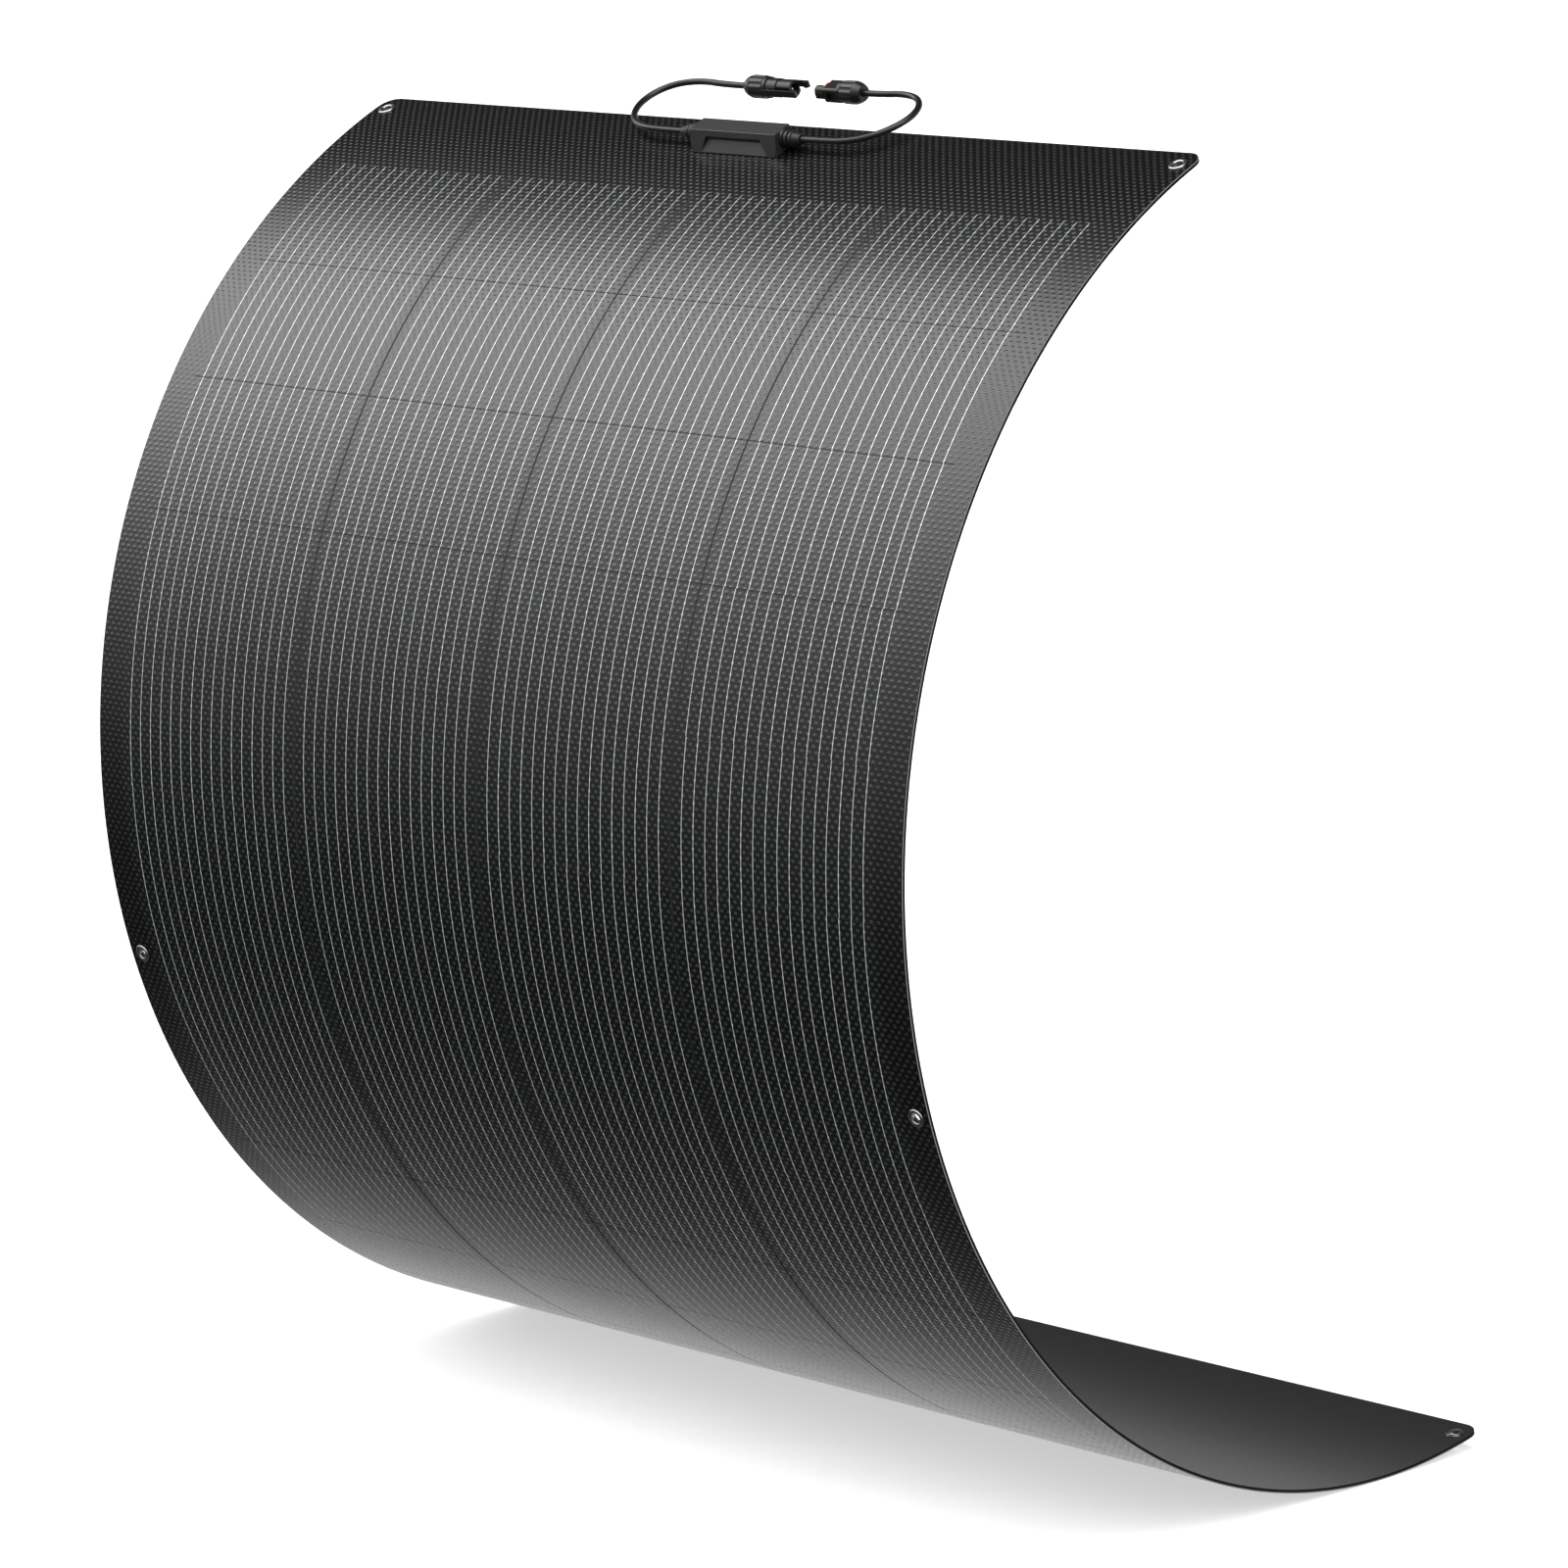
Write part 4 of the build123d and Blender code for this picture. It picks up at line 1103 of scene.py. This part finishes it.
# ------------------------------------------------------------------ studio
@dataclass
class Studio:
    """Pale floor, the room's light, one soft box and the camera.

    The room's stops are (degrees, brightness). The angle runs from level in front of
    the sheet at -180, down through the floor at -90, level behind at 0 and overhead
    at 90, back to level in front at 180.
    """

    floor_height: float
    lens: float = 148.3
    sensor: float = 36.0
    camera_at: tuple[float, float, float] = (3.50614, -3.27108, 1.01725)
    azimuth: float = 44.494
    elevation: float = 9.816
    clip_end: float = 200.0
    floor_radius: float = 40.0
    floor_glow: float = 0.55
    box_at: tuple[float, float, float] = (2.6, 1.9, 2.4)
    box_aim: tuple[float, float, float] = (0.0, 0.25, 0.2)
    box_side: float = 1.6
    box_radiance: float = 2.0
    brightest: float = 6.0
    room: tuple[tuple[float, float], ...] = (
        (-180, 0.6), (-171, 0.3), (-160, 0.13), (-150, 0.05), (-129, 0.03), (-108, 0.08),
        (-86, 0.2), (-65, 0.55), (-44, 1.0), (0, 1.0), (20, 0.4), (40, 0.05), (65, 0.02),
        (80, 0.02), (88, 0.6), (95, 4.4), (108, 5.6), (124, 4.8), (137, 3.4), (147, 2.4),
        (157, 1.5), (168, 0.9), (180, 0.6),
    )

    def floor(self) -> None:
        """Lays a wide pale floor under the sheet."""
        shape = bmesh.new()
        bmesh.ops.create_circle(shape, cap_ends=True, cap_tris=True, segments=96, radius=self.floor_radius)
        mesh = bpy.data.meshes.new("floor")
        shape.to_mesh(mesh)
        shape.free()
        mesh.transform(Matrix.Translation((0, 0, self.floor_height)))
        # Matt pale paint with a glow of its own, which leaves the ground white to the eye.
        paint = Finish(
            "studio_paint", "#c4c4c4", "#c0c0c0", roughness=0.85, grain_mm=3.0, relief_mm=0.0
        ).build()
        glow = paint.node_tree.nodes["Principled BSDF"]
        glow.inputs["Emission Color"].default_value = linear("#ffffff")
        glow.inputs["Emission Strength"].default_value = self.floor_glow
        mesh.materials.append(paint)
        ground = plain_object("floor", mesh)
        ground.visible_glossy = False
        ground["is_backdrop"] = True

    def world(self) -> None:
        """Lights the room by its stops: a bright band high in front and a dim one low behind."""
        world = bpy.data.worlds.new("studio")
        bpy.context.scene.world = world
        world.use_nodes = True
        tree = world.node_tree
        where = add_node(tree, "ShaderNodeTexCoord")
        apart = add_node(tree, "ShaderNodeSeparateXYZ", {0: where.outputs["Generated"]})
        angle = add_node(tree, MATH, {0: apart.outputs[2], 1: apart.outputs[1]}, operation="ARCTAN2")
        share = add_node(
            tree,
            "ShaderNodeMapRange",
            {"Value": angle.outputs[0], "From Min": -math.pi, "From Max": math.pi},
        )
        ramp = add_node(tree, "ShaderNodeValToRGB", {0: share.outputs["Result"]})
        stops = ramp.color_ramp.elements
        for number, (degrees, level) in enumerate(self.room):
            stop = stops[number] if number < 2 else stops.new(1.0)
            stop.position = (degrees + 180) / 360
            stop.color = (level / self.brightest,) * 3 + (1.0,)
        level = add_node(tree, MATH, {0: ramp.outputs[0], 1: self.brightest}, operation="MULTIPLY")
        tree.links.new(level.outputs[0], tree.nodes["Background"].inputs["Strength"])
        tree.nodes["Background"].inputs["Color"].default_value = linear("#ffffff")

    def fill_box(self) -> None:
        """Hangs a soft box behind the sheet, high on its right, that no gloss reflects."""
        lamp = bpy.data.lights.new("fill_box", "AREA")
        lamp.shape = "RECTANGLE"
        lamp.size = lamp.size_y = self.box_side
        lamp.energy = self.box_radiance * math.pi * self.box_side**2
        box = bpy.data.objects.new("fill_box", lamp)
        bpy.context.scene.collection.objects.link(box)
        direction = Vector(self.box_aim) - Vector(self.box_at)
        turn = direction.to_track_quat("-Z", "Y").to_matrix().to_4x4()
        box.visible_glossy = False
        box.matrix_world = Matrix.Translation(self.box_at) @ turn

    def camera(self) -> None:
        """Sets the camera up at the viewing angle."""
        data = bpy.data.cameras.new("camera")
        data.lens, data.sensor_width = self.lens, self.sensor
        data.clip_end = self.clip_end
        seer = bpy.data.objects.new("camera", data)
        bpy.context.scene.collection.objects.link(seer)
        seer.location = self.camera_at
        seer.rotation_euler = (math.radians(90 - self.elevation), 0.0, math.radians(self.azimuth))
        bpy.context.scene.camera = seer

    def build(self) -> None:
        """Makes the floor, the room, the soft box and the camera."""
        self.floor()
        self.world()
        self.fill_box()
        self.camera()
        scene = bpy.context.scene
        scene.view_settings.view_transform = "Standard"
        scene.view_settings.look = "None"


# ------------------------------------------------------------------ all finishes
def frame_finishes() -> dict[str, Finish]:
    """The finish of each of the record's material slots, for the nodes that stay."""
    brushed = {"metallic": 1.0, "grain": Grain.BRUSHED, "grain_mm": 0.2, "relief_mm": 0.002}
    drawn = {"metallic": 1.0, "grain": Grain.DRAWN, "grain_mm": 0.3}
    return {
        # PPO from an eroded mould: charcoal black, matt, edges only a little brighter.
        "box_plastic": Finish(
            "moulded PPO", "#141415", "#19191a", 0.5, specular=0.4, grain_mm=0.35, relief_mm=0.012
        ),
        # Soft elastomer from a smoother mould: deeper black, dull on its ribs.
        "gland": Finish(
            "moulded elastomer", "#0a0a0b", "#101011", 0.5, specular=0.35, grain_mm=0.5, relief_mm=0.008
        ),
        # Polyolefin extruded over the wire: satin black, a soft highlight along the lead.
        "cable_jacket": Finish(
            "cross-linked polyolefin",
            "#08080a",
            "#0c0c0d",
            0.34,
            specular=0.35,
            grain=Grain.DRAWN,
            grain_mm=0.8,
            relief_mm=0.006,
        ),
        # Polyamide from a fine mould: black, with a small clear highlight on each rib.
        "connector_plastic": Finish(
            "moulded polyamide", "#09090a", "#0e0e0f", 0.38, specular=0.4, grain_mm=0.3
        ),
        # Silicone pressed in the connector's back: dark grey and dull.
        "seal": Finish("silicone rubber", "#262627", "#2c2c2d", 0.6, grain_mm=0.6, relief_mm=0.004),
        # Pigmented silicone ring: the one bright colour, orange-red and satin.
        "o_ring": Finish("orange silicone", "#d2401c", "#dc4a22", 0.42, grain_mm=0.6, relief_mm=0.004),
        # Copper plated with tin and turned: pale grey with a warm cast, fine lines.
        "contact": Finish("tinned copper contact", "#cfccc4", "#bdbab2", 0.28, **brushed),
        # Bared strands cut to length: warm copper shows between the tin.
        "conductor": Finish("tinned copper strand", "#b98d6a", "#c79b78", 0.35, relief_mm=0.02, **drawn),
        # Stamped and tinned plate: pale grey, fine lines, duller than the contact.
        "terminal": Finish("tinned copper plate", "#c9c5bb", "#b7b3a9", 0.3, **brushed),
        # Rolled and tinned ribbon: cooler pale grey, faint lines.
        "ribbon": Finish("tinned copper ribbon", "#c4c3be", "#b2b1ac", 0.32, relief_mm=0.002, **drawn),
        # Epoxy package from a mould: flat dark grey.
        "diode": Finish("moulded epoxy", "#171717", "#1f1f1f", 0.5, grain_mm=0.3, relief_mm=0.006),
        # Silicone poured and set level: dark with a soft wet sheen, hardly any grain.
        "potting": Finish("silicone potting", "#1a1a1b", "#202021", 0.3, grain=Grain.POLISHED, grain_mm=4.0),
        # Silicone squeezed out of a tube: near black, dull and a little lumpy.
        "adhesive": Finish("silicone adhesive", "#131314", "#1a1a1b", 0.5, grain_mm=1.2, relief_mm=0.03),
    }


def dress_frame(frame: Mapping[str, Any]) -> dict[str, bpy.types.Material]:
    """Gives every node of the frame the finish of its slot.


    Returns:
        The materials by slot.
    """
    made = {slot: finish.build() for slot, finish in frame_finishes().items()}
    for entry in frame["record"]["subparts"]:
        slot, node = entry["material_slot"], frame["nodes"][entry["node"]]
        if slot in made:
            node.data.materials.clear()
            node.data.materials.append(made[slot])
            log.info("%s dressed as %s", entry["node"], slot)
    return made


@dataclass(frozen=True)
class SheetMaterials:
    """Finishes of the sheet's own layers, cells, wires and eyelets.

    Attributes:
        cell_field: Cell field as (half width, first distance, last distance).
    """

    cell_field: tuple[float, float, float]

    def film(self) -> bpy.types.Material:
        """Clear film rolled with ovals over black: glossy black, broken into flecks by the relief and by a
        painted highlight on the ovals' crowns.
        """
        # Black base between the ovals, then the paler painted highlight on their crowns.
        return EmbossedFilm(
            "embossed fluoropolymer film", "#040404", "#1e1f20", cell_field=self.cell_field
        ).build()

    def cell(self) -> bpy.types.Material:
        """Cell on foil under the same film: its own colour a little paler than the margins, shown mostly
        through the painted highlight on the ovals' crowns.
        """
        # Dark base between the ovals, then the paler painted highlight on their crowns.
        return EmbossedFilm("thin-film cell under film", "#060707", "#26282a").build()

    def wire(self) -> bpy.types.Material:
        """Tinned wire under the film: pale grey, half metal because the film covers it, with a paler painted
        highlight on the ovals' crowns.
        """
        # The wire's own grey between the ovals, then the paler painted highlight on their crowns.
        return EmbossedFilm(
            "tinned copper wire under film",
            "#9a9b9c",
            "#c4c5c6",
            roughness=0.35,
            metallic=0.5,
            relief_mm=0.1,
        ).build()

    def painted_edge_highlight(self) -> bpy.types.Material:
        """Cut edge of the clear layers: a thin grey line along the rim, painted as the highlight that the
        edge catches.
        """
        # Painted highlight: the grey stands in for light caught along the clear cut edge.
        return Finish(
            "clear film edge",
            "#6a6c6d",
            "#5e6061",
            0.4,
            specular=0.3,
            grain=Grain.POLISHED,
            grain_mm=6.0,
            relief_mm=0.0,
        ).build()

    def dark_edge(self) -> bpy.types.Material:
        """Knife-cut black encapsulant: dull black with faint drag lines."""
        return Finish(
            "black encapsulant", "#060606", "#0a0a0a", 0.7, specular=0.1, grain=Grain.DRAWN, grain_mm=1.5
        ).build()

    def back(self) -> bpy.types.Material:
        """Calendered polyester: even satin black that takes broad soft reflections."""
        return Finish(
            "satin polyester back sheet", "#161617", "#1a1a1b", 0.36, grain_mm=1.0, relief_mm=0.004
        ).build()

    def eyelet(self) -> bpy.types.Material:
        """Brass with dark nickel plate, tumbled smooth: mid grey metal, slightly cloudy."""
        return Finish(
            "nickel-plated brass",
            "#a2a2a5",
            "#8b8b8e",
            0.3,
            1.0,
            grain=Grain.POLISHED,
            grain_mm=2.0,
            relief_mm=0.002,
        ).build()


def main() -> None:
    """Builds the looks of the whole sheet, then the studio."""
    logging.basicConfig(level=logging.INFO, format="%(message)s")
    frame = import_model()
    cad_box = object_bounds()
    slots = dress_frame(frame)
    trees = CurlTrees(CURL)
    cells = CellField(CURL, trees)
    sheet = SheetMaterials(cells.extent)
    painted_edge_highlight, dark_edge = sheet.painted_edge_highlight(), sheet.dark_edge()
    Laminate(CURL, trees).build(
        faces={
            "front_film": sheet.film(),
            "front_encapsulant": dark_edge,
            "rear_encapsulant": dark_edge,
            "back_sheet": sheet.back(),
        },
        walls={
            "front_film": painted_edge_highlight,
            "front_encapsulant": painted_edge_highlight,
            "rear_encapsulant": dark_edge,
            "back_sheet": dark_edge,
        },
    )
    cells.build(sheet.cell(), sheet.wire())
    Eyelets(CURL, trees).build(sheet.eyelet())
    Cables(CURL).build(slots["cable_jacket"], frame["nodes"])
    Studio(floor_height=cad_box[0][2] - FLOOR_GAP).build()


if __name__ == "__main__":
    main()
